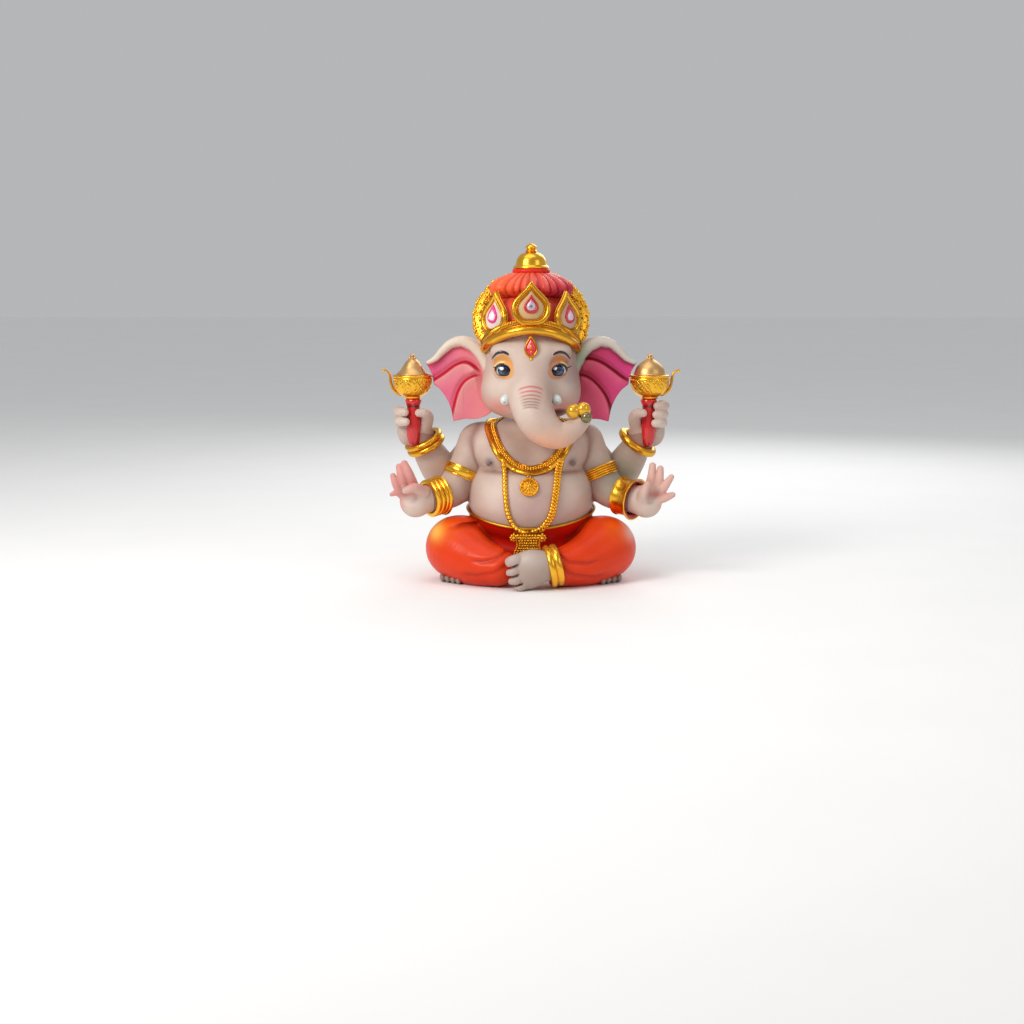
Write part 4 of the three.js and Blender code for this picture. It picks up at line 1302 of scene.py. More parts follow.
def ear_paint(side):
    def paint(v, n):
        u, z = side * v[:, 0], v[:, 2]
        height, crease = ear_relief(side, u, z)
        out = np.clip((u - 24) / 27, 0, 1)
        # The idol's left ear gets a darker, deeper copy of the right ear's paint: painted shade on the side
        # away from the key light.
        if side < 0:
            colour = blend_colours(srgb(238, 140, 144), srgb(222, 82, 132), out)
            crest, dip, rim_skin = srgb(250, 186, 176), srgb(186, 22, 50), srgb(224, 206, 188)
        else:
            colour = blend_colours(srgb(172, 40, 66), srgb(226, 66, 142), out**1.4)
            colour = blend_colours(colour, srgb(196, 74, 104), patch(v, (28, -5, 86), (9, 9, 8)))
            crest, dip, rim_skin = srgb(232, 110, 134), srgb(120, 6, 22), srgb(200, 190, 180)
        # Painted highlight on the ridges' crests.
        colour = blend_colours(colour, crest, 0.75 * np.clip(height / 2.2 - 0.25, 0, 1))
        # Painted shade in the creases below the ridges.
        colour = blend_colours(colour, dip, np.clip(0.62 * crease, 0, 1))
        rim_x, rim_z, rim_radius = np.transpose(EAR_RIM)
        gap = near_line(u, z, list(zip(rim_x, rim_z)))
        size = np.interp(u, rim_x, rim_radius)
        rim_height = np.interp(u, rim_x, rim_z)
        # Painted shade under the rim.
        under = np.exp(-(((gap - size - 0.5) / 1.0) ** 2)) * (z < rim_height)
        fade = np.clip((u - 27) / 7, 0.1, 1) if side < 0 else 0.8
        colour = blend_colours(colour, dip, 0.75 * under * fade)
        on_rim = np.maximum(np.clip((size + 0.25 - gap) / 0.5, 0, 1), z > rim_height)
        # A painted green reflection on the left ear's rim near the head.
        if side > 0:
            rim_skin = blend_colours(
                np.broadcast_to(rim_skin, v.shape), srgb(136, 154, 124),
                0.8 * patch(v, (24, -5, 108), (6, 12, 7)),
            )
        colour = blend_colours(colour, rim_skin, on_rim)
        behind = np.clip((v[:, 1] + 2.2) / 1.2, 0, 1) * np.clip(n[:, 1] * 2 + 0.6, 0, 1)
        return blend_colours(colour, SKIN_BASE, behind)

    return paint


def make_ears():
    for word, side in SIDES:
        low, high = box_on(side, (15, 54), (-9.5, 4.5), (76, 122))
        cast(
            f"ear_casting_{word}", ear(side), [], low, high, 0.3, EAR_PAINT, "ear_pink", (f"ear_{word}",),
            ear_paint(side),
        )


make_ears()


# ---------------------------------------------------------------- crown

BAND_RADII = (23.5, 25.4)
BAND_HEIGHT = 113.2
BAND_ARCH = 11.6


def band_line(count, rise=0.0, spread_by=0.0):
    """The crown band's path round the head, arching up over the forehead."""
    a = np.linspace(0, 2 * math.pi, count, endpoint=False)
    front, back = np.maximum(0, np.cos(a)) ** 1.3, np.maximum(0, -np.cos(a))
    x = (BAND_RADII[0] + spread_by) * np.sin(a)
    y = -(BAND_RADII[1] * (1 - 0.04 * front) + spread_by) * np.cos(a)
    z = BAND_HEIGHT + BAND_ARCH * front - 0.7 * back + rise
    return np.stack([x, y, z], 1), np.stack([np.sin(a), -np.cos(a), 0 * a], 1)


def make_band():
    """A smooth convex tube below, with a finely milled ring above it and a thin lip between."""
    shape = Shape()
    line, out = band_line(220, -1.1)
    shape.add(*sweep(line, out, circle(1, 20) * (2.3, 2.2), closed=True))
    line, out = band_line(220, 1.3, 0.5)
    shape.add(*sweep(line, out, circle(0.55, 8), closed=True))
    ribs = 190
    line, out = band_line(ribs * 4, 2.9, 0.1)
    rib = np.tile((0.86, 1.06, 1.06, 0.86), ribs)
    shape.add(*sweep(line, out, circle(1, 10) * (1.6, 1.5), closed=True, scale=lambda i: rib[i]))
    shape.build("band_rings", GOLD, "gold", ("crown_band",))


DOME_TINT = srgb(240, 92, 64)
DOME_DARK = srgb(182, 24, 34)
ROLL_LEFT = srgb(196, 28, 58)
ROLL_RIGHT = srgb(248, 92, 34)
ROLL_PALE = srgb(250, 138, 110)


def make_dome():
    t = np.linspace(0.05, math.pi - 0.6, 60)
    profile = [(22 * math.sin(a), 124.5 + 19 * math.cos(a)) for a in t[::-1]]

    def wraps(angle, r, z):
        back = np.clip(-np.cos(angle) * 2, 0, 1)
        wave = np.abs(np.sin(0.34 * (z + 5 * np.cos(angle)))) ** 0.7
        band = BAND_HEIGHT + BAND_ARCH * np.maximum(0, np.cos(angle)) ** 1.3
        tucked = np.clip((band + 1.5 - z) / 4, 0, 1)
        return r * (1 + back * 0.035 * (wave - 0.6) - 0.2 * tucked), z

    points, faces = lathe(profile, 120, wraps)
    points = points + (0, 1, 0)
    # Painted shade: darker towards the idol's left, and towards the bottom where the dome tucks in behind the
    # band.
    tint = blend_colours(DOME_TINT, DOME_DARK, np.clip((points[:, 0] - 2) / 22, 0, 1))
    tint = blend_colours(tint, DOME_DARK, 0.7 * np.clip((125 - points[:, 2]) / 8, 0, 1))
    Shape().add(points, faces, tint).build("dome_cloth", CLOTH, "cloth_red", ("turban_dome",))


ROLL_PROFILE = (
    (7.6, 138.6), (14.4, 138.5), (17.8, 139.3), (19.9, 141.2), (20.5, 143.2), (19.9, 145.1), (18, 147),
    (15.4, 148.6), (12.6, 149.8), (10.4, 150.7), (9, 151), (7.6, 151),
)


def pleat(angle):
    """Pleats of uneven width: 0 in a crease and 1 on a crest."""
    uneven = angle + 0.07 * np.sin(3 * angle + 0.6)
    uneven = uneven + 0.045 * np.sin(7 * angle + 2) + 0.02 * np.sin(13 * angle)
    return np.abs(np.sin(12 * uneven)) ** 0.5


def make_roll():
    profile = smooth_line(ROLL_PROFILE, 54)

    def pleated(angle, r, z):
        swell = np.clip((r - 8.6) / 7, 0, 1)
        deep = 0.25 + 0.85 * swell
        lump = 0.5 * np.sin(5 * angle + 1) + 0.3 * np.sin(9 * angle + 4)
        grow = deep * 1.25 * (pleat(angle) - 0.75) + 0.5 * lump * swell
        fine = 0.16 * swell * np.sin(61 * angle + 3 * np.sin(4 * angle) + 0.25 * z)
        away = np.clip((z - 138) / 3, 0, 1)
        arch = 1.1 * np.maximum(np.cos(angle), 0) ** 2 * np.clip((144 - z) / 4, 0, 1)
        return r + (grow + fine) * away, z + 0.35 * grow * (z - 143.5) / 9 + arch

    points, faces = lathe(profile, 560, pleated)
    angle = np.repeat(np.linspace(0, 2 * math.pi, 560, endpoint=False), len(profile))
    z = points[:, 2]
    # Deeper crimson towards the idol's left: painted shade on the side away from the key light.
    share = np.clip(0.5 + points[:, 0] / 30, 0, 1)
    tint = blend_colours(ROLL_RIGHT, ROLL_LEFT, share)
    # Painted highlight on the crests of the upper pleats.
    tint = blend_colours(
        tint, ROLL_PALE, 0.45 * np.clip(pleat(angle) * 2 - 1.2, 0, 1) * np.clip((z - 142) / 4, 0, 1),
    )
    # Painted shade in the pleats' creases and towards the bottom.
    tint = blend_colours(tint, srgb(120, 8, 22), 0.7 * (1 - np.clip(pleat(angle) / 0.55, 0, 1)))
    tint = blend_colours(tint, srgb(150, 14, 20), 0.5 * np.clip((140.5 - z) / 3, 0, 1))
    shape = Shape()
    shape.add(points + (0, 2, 0), faces, tint)
    ring, ring_faces = lathe(
        [(8 + 1.4 * math.sin(t), 151.8 + 1.25 * math.cos(t)) for t in np.linspace(0, 6.1, 16)], 90,
    )
    shape.add(ring + (0, 2, 0), ring_faces, srgb(226, 42, 20))
    shape.build("roll_cloth", CLOTH, "cloth_orange", ("turban_roll",))


FINIAL = (
    (0.5, 153), (8.3, 153.1), (8.9, 153.5), (8.7, 154.1), (7.9, 154.6), (7.6, 155.6), (7.2, 157.2),
    (6.3, 158.9), (4.8, 160.2), (3.2, 160.8), (2.5, 161.1), (3.1, 161.5), (2.5, 161.95), (2.2, 162.3),
    (2.9, 163.2), (2.3, 164.2), (1.1, 164.9), (0.45, 165.4), (0.1, 165.68),
)


def make_finial():
    points, faces = lathe(smooth_line(FINIAL, 110), 72)
    Shape().add(points + (0, 2, 0), faces).build("finial_turning", GOLD, "gold", ("crown_finial",))


# A leaf's half widths at heights from its foot, for one 21 mm tall.
LEAF = (
    (0, -1.4), (4.6, -0.9), (7.2, 0.9), (9, 3.6), (9.6, 6.8), (9.3, 9), (8.1, 11.3), (6.1, 13.6),
    (3.9, 15.8), (2.1, 17.9), (0.8, 19.8), (0, 21),
)
DROP = ((0, 0), (2, 0.4), (3.2, 1.9), (3.4, 3.6), (2.6, 5.4), (1.5, 7), (0.6, 8.3), (0, 9.2))
MARQUISE = ((0, -0.2), (1.5, 0.6), (2.9, 2.4), (3.3, 4.4), (2.7, 6.7), (1.6, 8.8), (0.7, 10.4), (0, 11.6))


def outline_of(half, count):
    """A closed mirrored outline through half widths and heights, evenly spaced, starting at the foot."""
    right = smooth_line(half, 80)
    loop = np.vstack([right, (right * (-1, 1))[-2:0:-1]])
    steps = np.linalg.norm(np.roll(loop, -1, 0) - loop, axis=1)
    along = np.concatenate([[0], np.cumsum(steps)])
    at = np.linspace(0, along[-1], count, endpoint=False)
    ring = np.vstack([loop, loop[:1]])
    return np.stack([np.interp(at, along, ring[:, k]) for k in (0, 1)], 1)


def loft(outline, heart, rings, teeth=None):
    """A low relief: the outline shrunk towards its heart, ring by ring, each (scale, height)."""
    points = []
    for k, (scale, height) in enumerate(rings):
        flat = heart + (outline - heart) * scale
        lift = np.full(len(flat), float(height))
        if teeth and k in teeth:
            lift += np.tile((0.16, -0.16), len(flat) // 2)
        points.append(np.column_stack([flat, lift]))
    count = len(outline)
    faces = [tuple(f) for f in grid_faces(len(rings), count, False, True)]
    faces.append(tuple(range(count))[::-1])
    faces.append(tuple(range((len(rings) - 1) * count, len(rings) * count)))
    return np.vstack(points), faces


def hung(points, at, yaw, lean, scale=1.0):
    """Stands (across, up, out) points at a place, turned to a yaw and leaning back."""
    out = np.array([math.sin(yaw) * math.cos(lean), -math.cos(yaw) * math.cos(lean), math.sin(lean)])
    right = np.array([math.cos(yaw), math.sin(yaw), 0])
    return points * scale @ np.stack([right, np.cross(out, right), out]) + at


# Each plaque: name, yaw, radius, height, scale, lean, field colour, gem colour, and the gem heart's paler
# colour, a painted highlight.
PLAQUES = (
    ("front", 0, 25.6, 127, 1, 0.2, srgb(206, 168, 118), srgb(196, 20, 26), srgb(196, 178, 190)),
    ("right", -0.86, 23.8, 122.2, 0.97, 0.12, srgb(240, 222, 208), srgb(228, 44, 134), srgb(252, 238, 244)),
    ("left", 0.86, 23.8, 122.2, 0.97, 0.12, srgb(212, 176, 148), srgb(204, 26, 58), srgb(222, 200, 210)),
)
FRAME_RINGS = (
    (0.99, -0.1), (1.0, 0.5), (0.995, 1.2), (0.97, 1.75), (0.93, 2.1), (0.88, 2.25), (0.82, 2.15),
    (0.78, 1.8), (0.755, 1.35), (0.74, 1.3), (0.725, 1.75), (0.70, 1.9), (0.675, 1.75), (0.66, 1.2),
    (0.64, 0.9), (0.5, 0.8),
)
FIELD_RINGS = ((0.66, 0.6), (0.655, 1.1), (0.6, 1.35), (0.4, 1.75), (0.2, 1.95), (0.04, 2.0))
GEM_RINGS = (
    (1.0, 0), (1.02, 0.5), (0.96, 1.05), (0.84, 1.25), (0.74, 1.1), (0.68, 0.8), (0.5, 0.75), (0.1, 0.75),
)
HEART_RINGS = ((0.66, 0.7), (0.64, 1.15), (0.52, 1.5), (0.34, 1.72), (0.12, 1.82), (0.02, 1.83))


def make_plaque(word, yaw, radius, base, scale, lean, field, gem, heart):
    at = np.array([math.sin(yaw) * radius, 1 - math.cos(yaw) * radius, base])
    leaf, drop = outline_of(LEAF, 200), outline_of(DROP, 72)
    middle, pip = np.array([0, 7.2]), np.array([0, 3.6])

    def place(points, lift=(0, 0, 0)):
        return hung(points + lift, at, yaw, lean, scale)

    points, faces = loft(leaf, middle, FRAME_RINGS, teeth=(11, 12))
    Shape().add(place(points), faces).build(f"plaque_frame_{word}", GOLD, "gold", (f"crown_plaque_{word}",))
    points, faces = loft(leaf, middle, FIELD_RINGS)
    # Painted shade over one side of the field.
    shade = blend_colours(
        np.broadcast_to(field, points.shape), field * 0.72, np.clip((points[:, 0] + 2) / 8, 0, 0.8),
    )
    Shape().add(place(points), faces, shade).build(f"plaque_field_{word}", EAR_PAINT, "gold")
    jewel = Shape()
    lift = (0, 4.4, 1.55)
    points, faces = loft(drop, pip, GEM_RINGS)
    jewel.add(place(points, lift), faces, gem)
    points, faces = loft(drop, pip, HEART_RINGS)
    # The gem's heart is a painted highlight, fading into the gem's colour at its top.
    glow = blend_colours(
        np.broadcast_to(heart, points.shape), gem, np.clip((points[:, 1] - 4.4) / 3, 0, 0.7),
    )
    if word == "front":
        glow = blend_colours(
            glow, srgb(60, 26, 44), np.exp(-((np.hypot(points[:, 0], points[:, 1] - 3.2) / 0.7) ** 2)),
        )
    jewel.add(place(points, lift), faces, glow)
    jewel.build(f"plaque_gem_{word}", GLOSS, "gem_red", (f"crown_gem_{word}",))


def make_jewel():
    """The drop on the forehead: a gold frame, a red drop, a gold flame and dot, and the line it hangs by."""
    at, lean = np.array([0, -24.7, 110.2]), 0.16
    marquise = outline_of(MARQUISE, 96)
    heart = np.array([0, 4.6])
    rings = ((0.98, -0.6), (1, 0.3), (0.97, 0.8), (0.88, 1.1), (0.78, 0.95), (0.72, 0.6), (0.5, 0.5))
    frame = Shape()
    points, faces = loft(marquise, heart, rings)
    frame.add(hung(points, at, 0, lean), faces)
    string = [(0, 11, 0.9), (0, 12.6, 0.9), (0, 14, 0.3)]
    frame.add(*sweep(hung(smooth_line(string, 8), at, 0, lean), (0, -1, 0), circle(0.34, 8)))
    ball_points, ball_faces = bead(0.85, 8, 12)
    frame.add(ball_points + hung(np.array([0, -0.5, 0.5]), at, 0, lean), ball_faces)
    flame = outline_of(((0, 0), (0.45, 0.5), (0.5, 1.2), (0.25, 2.2), (0, 3)), 24)
    points, faces = loft(flame, np.array([0, 1]), ((1, 0), (0.95, 0.3), (0.5, 0.55), (0.05, 0.6)))
    frame.add(hung(points + (0, 4, 1.25), at, 0, lean), faces)
    dot, dot_faces = bead(0.36, 6, 10)
    frame.add(dot + hung(np.array([0, 2.9, 1.45]), at, 0, lean), dot_faces)
    frame.build("jewel_frame", GOLD, "gold")
    points, faces = loft(
        marquise, heart, ((0.76, 0.4), (0.74, 0.85), (0.6, 1.25), (0.35, 1.5), (0.05, 1.55)),
    )
    # A paler pink painted highlight on the red drop.
    tint = blend_colours(
        np.broadcast_to(srgb(214, 14, 34), points.shape), srgb(250, 96, 110),
        patch(points, (0, 5, 1.5), (1.1, 2.6, 3)) * 0.4,
    )
    Shape().add(hung(points, at, 0, lean), faces, tint).build(
        "jewel_drop", GLOSS, "gem_red", ("forehead_jewel",),
    )


def make_halo():
    """A ring of gilded crust behind the turban, grains and curls on a plain band. The head hides its foot."""
    centre, lean = np.array([0, 15, 127]), 0.36
    up, out = np.array([0, math.sin(lean), math.cos(lean)]), np.array([0, -math.cos(lean), math.sin(lean)])
    right = np.array([1.0, 0, 0])

    def place(angle, inset, lift):
        """A point on the halo: angle from its top, how far in from its outer edge, and how far proud."""
        x, z = (28.5 - inset) * np.sin(angle), (25.5 - inset) * np.cos(angle)
        spot = centre + np.multiply.outer(x, right) + np.multiply.outer(z, up)
        return spot + np.multiply.outer(lift, out)

    shape = Shape()
    angle = np.linspace(0, 2 * math.pi, 200, endpoint=False)
    line = place(angle, 3.7 + 0 * angle, 1.3 + 0 * angle)
    spoke = line - centre
    slab = np.array([
        (-1.5, -3.4), (-1.5, 3.4), (-0.9, 3.7), (0.9, 3.7), (1.5, 3.2), (1.7, 0), (1.5, -3.2), (0.9, -3.7),
        (-0.9, -3.7),
    ])
    shape.add(*sweep(line, spoke, slab, closed=True))
    grain = bead(1, 5, 7)
    places = []
    for row, inset in enumerate(np.arange(0.1, 7.4, 1.15)):
        count = int(2 * math.pi * (27 - inset) / 1.35)
        a = (np.arange(count) + RNG.uniform(-0.3, 0.3, count) + 0.5 * row) * 2 * math.pi / count
        size = RNG.uniform(0.5, 1.0, count)
        spots = place(a, inset + RNG.uniform(-0.35, 0.35, count), 1.9 + RNG.uniform(0, 0.9, count))
        places.extend((*spot, s) for spot, s in zip(spots, size))
    rim = np.linspace(0, 2 * math.pi, 96, endpoint=False)
    spots = place(rim, RNG.uniform(-0.6, 0.3, 96), RNG.uniform(0, 2.4, 96))
    places.extend((*spot, s) for spot, s in zip(spots, RNG.uniform(0.8, 1.35, 96)))
    scatter(shape, grain, places)
    for a in np.linspace(0.12, 2 * math.pi - 0.12, 30):
        turn = np.linspace(0.4, 5.2, 16)
        reach = 1.75 - 0.24 * turn
        flat = [
            place(a + r * math.cos(t) / 26, 3.4 + r * math.sin(t), 3.2 - 0.1 * t)
            for t, r in zip(turn, reach)
        ]
        shape.add(*sweep(flat, out, circle(0.42, 6), scale=tapered(3, 4, 16)))
    shape.build("halo_crust", GOLD_CRUST, "gold", ("crown_halo",))


def make_crown():
    make_band()
    make_dome()
    make_roll()
    make_finial()
    for plaque in PLAQUES:
        make_plaque(*plaque)
    make_jewel()
    make_halo()


make_crown()


# ---------------------------------------------------------------- jewellery

COLLAR = ((0, 55.2), (8, 57), (14.4, 63), (18.4, 70))
COLLAR_TOP = ((20.4, -4, 76.5), (17, 5.5, 79), (9, 12, 77.4))
NECKLACE = (
    (-13.6, 60), (-12.8, 54), (-12.4, 44), (-11, 34.4), (-7.2, 27.6), (-0.6, 25), (5.6, 27.6), (10, 34),
    (12, 44), (13.2, 54), (14.4, 60),
)


def body(p):
    """The whole upper body as one field, for laying jewellery on."""
    whole = torso(p)
    for _, side in SIDES:
        whole = melt(whole, front_arm(side)(p), 5)
        whole = melt(whole, rear_arm(side)(p), 5)
    return whole


def dressed(p):
    """The body with the dhoti over it."""
    return np.minimum(body(p), seat(p))


def lay_on(points, field, proud):
    """Moves points along the front-to-back direction until they rest on a field."""
    points = np.array(points, float)
    for _ in range(40):
        points[:, 1] += np.clip(field(points.T) - proud, -2, 2)
    return points


def evenly(line, step, closed=False):
    """Points every step along a line."""
    loop = np.vstack([line, line[:1]]) if closed else line
    along = np.concatenate([[0], np.cumsum(np.linalg.norm(np.diff(loop, axis=0), axis=1))])
    count = max(2, round(along[-1] / step))
    at = np.linspace(0, along[-1], count, endpoint=not closed)
    return np.stack([np.interp(at, along, loop[:, k]) for k in range(3)], 1)


def beads_along(shape, line, step, size, closed=False, seed=None):
    places = [(*spot, size) for spot in evenly(np.asarray(line), step, closed)]
    scatter(shape, seed or bead(1, 6, 8), places)


def make_collar():
    """A flat collar: a round inner edge, two rows of small beads, a thin wire and a broad outer band."""
    front = np.array([(x, -28, z) for x, z in COLLAR], float)
    front = lay_on(front, body, 0.6)
    half = np.vstack([front, COLLAR_TOP])
    loop = np.vstack([half, [(0, 14.4, 76)], mirrored(half[:0:-1], -1)])
    line = smooth_line(loop, 200, closed=True)
    line = settle(line, body, 0.35, 6)
    for _ in range(3):
        line = (np.roll(line, 1, 0) + 2 * line + np.roll(line, -1, 0)) / 4
    out = slope_of(body, line)
    side, out = frames_on(line, out, closed=True)
    shape = Shape()
    slab = np.array([(-2.7, -0.9), (2.7, -0.9), (2.8, 0.1), (2.5, 0.45), (-2.5, 0.45), (-2.8, 0.1)])
    shape.add(*sweep(line, out, slab, closed=True))
    inner = 1 if side[0, 2] > 0 else -1
    shape.add(*sweep(line + side * 2.65 * inner + out * 0.2, out, circle(0.45, 8), closed=True))
    for offset in (1.75, 0.8):
        beads_along(shape, line + side * offset * inner + out * 0.45, 1.3, 0.62, True)
    shape.add(*sweep(line + side * 0.1 * inner + out * 0.3, out, circle(0.3, 6), closed=True))
    shape.add(*sweep(
        line - side * 1.55 * inner + out * 0.2, out, circle(1, 12) * (1.35, 0.85), closed=True,
    ))
    shape.build("collar_beadwork", GOLD, "gold", ("collar_necklace",))


def make_necklace():
    """A long strand: one row of round beads on the right, a broader plait of beads on the left."""
    line = smooth_line([(x, -32, z) for x, z in NECKLACE], 160)
    line = lay_on(line, dressed, 0.8)
    shape = Shape()
    shape.add(*sweep(line, (0, -1, 0), circle(0.6, 8)))
    outward = slope_of(body, line)
    side, out = frames_on(line, outward)
    split = int(np.argmin(line[:, 2]))
    beads_along(shape, line[: split + 4] + out[: split + 4] * 0.35, 1.85, 1.4, seed=bead(1, 8, 12))
    for offset in (-0.95, 0.95):
        row = line + side * offset + out * 0.3
        beads_along(shape, row[split + 5 :], 1.6, 1.04, seed=bead(1, 7, 10))
    beads_along(shape, (line + out * 1.05)[split + 6 :], 1.55, 0.55)
    shape.build("necklace_strand", GOLD, "gold", ("long_necklace",))


def make_pendant():
    """A round shell on a small ring under the collar."""
    at = lay_on([(-0.8, -30, 47.6)], body, 0.1)[0]
    ways = facing(slope_of(body, at[None])[0])
    profile = (
        (4.5, -0.4), (4.75, 0.3), (4.55, 0.95), (4.1, 1.2), (3.8, 1.1), (3.3, 1.5), (2.4, 2.0), (1.4, 2.3),
        (0.7, 2.4), (0.1, 2.5),
    )

    def ribs(angle, r, z):
        shell = np.clip((r - 0.5) / 1.2, 0, 1) * np.clip((3.9 - r) / 0.3, 0, 1)
        return r, z + 0.75 * shell * (np.abs(np.cos(6 * angle + 0.25 * r)) ** 0.7 - 0.75)

    points, faces = lathe(smooth_line(profile, 40), 112, ribs)
    shape = Shape()
    # A lathe turns about its own Z, so its axes are matched to the way the pendant faces.
    shape.add(points @ ways + at, faces)
    turn = np.linspace(0, 2 * math.pi, 24, endpoint=False)
    ring = np.stack([0.8 * np.cos(turn), 5.1 + 0.8 * np.sin(turn), 0.6 + 0 * turn], 1) @ ways + at
    shape.add(*sweep(ring, ways[2], circle(0.34, 8), closed=True))
    edge = np.linspace(0, 2 * math.pi, 26, endpoint=False)
    studs = np.stack([4.15 * np.cos(edge), 4.15 * np.sin(edge), 1.15 + 0 * edge], 1) @ ways + at
    scatter(shape, bead(1, 6, 8), [(*spot, 0.42) for spot in studs])
    shape.build("pendant_shell", GOLD, "gold", ("pendant",))


def hem_line(count, proud):
    """The hem's path round the belly, and the way out from it."""
    a = np.linspace(0, 2 * math.pi, count, endpoint=False)
    (_, y, middle), (across, deep, tall) = BELLY
    z = hem_height(a)
    shrink = np.sqrt(1 - ((z - middle) / tall) ** 2)
    points = np.stack(
        [np.sin(a) * (across * shrink + proud), y - np.cos(a) * (deep * shrink + proud), z], 1,
    )
    return points, np.stack([np.sin(a), -np.cos(a), 0 * a], 1)


BUCKLE_ROWS = (
    (26.6, 5.8, 8), (25.2, 5.4, 9), (23.8, 5, 7), (22.4, 4.8, 8), (21, 4.8, 7), (19.6, 5.2, 9),
    (18.2, 5.8, 8), (16.9, 6.2, 10),
)


def make_belt():
    """The hem's thin gold edge, and a filigree buckle of beaded rows between two rosettes."""
    shape = Shape()
    line, out = hem_line(200, 1.35)
    shape.add(*sweep(line, out, circle(1, 10) * (0.75, 0.6), closed=True))
    at, lean = np.array([-1.3, -27.2, 15.4]), 0.3

    def place(points):
        return hung(np.asarray(points, float) - (0, 17, 0), at, 0, -lean)

    waist = (
        (-7, 27.4), (-6, 24), (-5.4, 21.6), (-6, 19), (-6.8, 16.4), (6.8, 16.4), (6, 19), (5.4, 21.6),
        (6, 24), (7, 27.4),
    )
    outline = np.array(waist)
    points, faces = loft(outline, np.array([0, 22]), ((1, -1.6), (1, 0.2), (0.95, 0.7), (0.5, 0.8)))
    shape.add(place(points), faces)
    small, knob = bead(1, 6, 8), bead(1, 8, 12)
    for z, half, count in BUCKLE_ROWS:
        spots = [(x, z, 0.85) for x in np.linspace(-half + 0.8, half - 0.8, count)]
        scatter(shape, small, [(*spot, 0.66) for spot in place(spots)])
        between = [(x, z - 0.9, 0.8) for x in np.linspace(-half + 1.6, half - 1.6, count - 1)]
        scatter(shape, small, [(*spot, 0.42) for spot in place(between)])
    edge = smooth_line(waist[:5], 26)
    for side in (-1, 1):
        rim = place([(side * -x, z, 0.7) for x, z in edge])
        beads_along(shape, rim, 0.95, 0.52)
        centre = (side * 6.9, 25.4, 1.5)
        scatter(shape, knob, [(*place([centre])[0], 1.05)])
        petals = [
            (centre[0] + 1.55 * math.cos(t), centre[1] + 1.55 * math.sin(t), 1.0)
            for t in np.linspace(0, 5.4, 8)
        ]
        scatter(shape, small, [(*spot, 0.68) for spot in place(petals)])
    shape.build("belt_and_buckle", GOLD_CRUST, "gold", ("waist_belt",))


def ring_round(centre, axis, section, segments=96, warp=None):
    """A ring about an axis from a closed section of (radius, along) points."""
    profile = np.vstack([section, section[:1]])
    points, faces = lathe(profile, segments, warp)
    faces = faces[:-2]
    out = np.asarray(axis, float) / np.linalg.norm(axis)
    right = np.cross((0.0, 0.0, 1.0), out)
    right /= np.linalg.norm(right)
    return points @ np.stack([right, np.cross(out, right), out]) + centre, faces


def humps(inner, width, rise, ridges, count=12):
    """A section for a bangle: so many smooth humps side by side."""
    along = np.linspace(-width / 2, width / 2, ridges * count + 1)
    height = inner + rise * np.abs(np.sin(np.linspace(0, ridges * math.pi, len(along)))) ** 0.55
    top = np.stack([height + 0.25, along], 1)
    floor = np.array([(inner - 0.6, width / 2 - 0.2), (inner - 0.6, -width / 2 + 0.2)])
    return np.vstack([top, floor])


def on_arm(stations, share):
    """The centre, axis and radius part of the way along a limb."""
    line = smooth_line(stations, 101)
    k = round(share * 100)
    axis = line[min(k + 3, 100), :3] - line[max(k - 3, 0), :3]
    return line[k, :3], axis / np.linalg.norm(axis), line[k, 3]


def make_armlets():
    """One smooth with edge ridges, the other with fine grooved rows."""
    for word, side in SIDES:
        centre, axis, radius = on_arm(mirrored(FRONT_ARM, side), 0.34)
        inner = radius - 0.1
        if word == "right":
            edge = [
                (inner + 1.0 + 0.55 * math.sin(t), -2.6 + 0.55 * math.cos(t))
                for t in np.linspace(3.2, 7.6, 9)
            ]
            crown = [
                (inner + 1.05 + 0.5 * math.sin(t), y)
                for t, y in zip(np.linspace(0, math.pi, 12), np.linspace(-1.9, 1.9, 12))
            ]
            other = [
                (inner + 1.0 + 0.55 * math.sin(t), 2.6 - 0.55 * math.cos(t))
                for t in np.linspace(-1.3, 3.1, 9)
            ]
            section = np.array([(inner - 0.6, -2.8), *edge[2:], *crown, *other[1:-2], (inner - 0.6, 2.8)])
            section = section[np.argsort(section[:, 1], kind="stable")]
            section = np.vstack([section[1:-1], [(inner - 0.6, 2.8), (inner - 0.6, -2.8)]])
        else:
            section = humps(inner + 0.5, 5.7, 0.9, 5, 7)
        points, faces = ring_round(centre, axis, section)
        Shape().add(points, faces).build(f"armlet_ring_{word}", GOLD, "gold", (f"armlet_{word}",))


CUFF_RED = srgb(190, 20, 10)


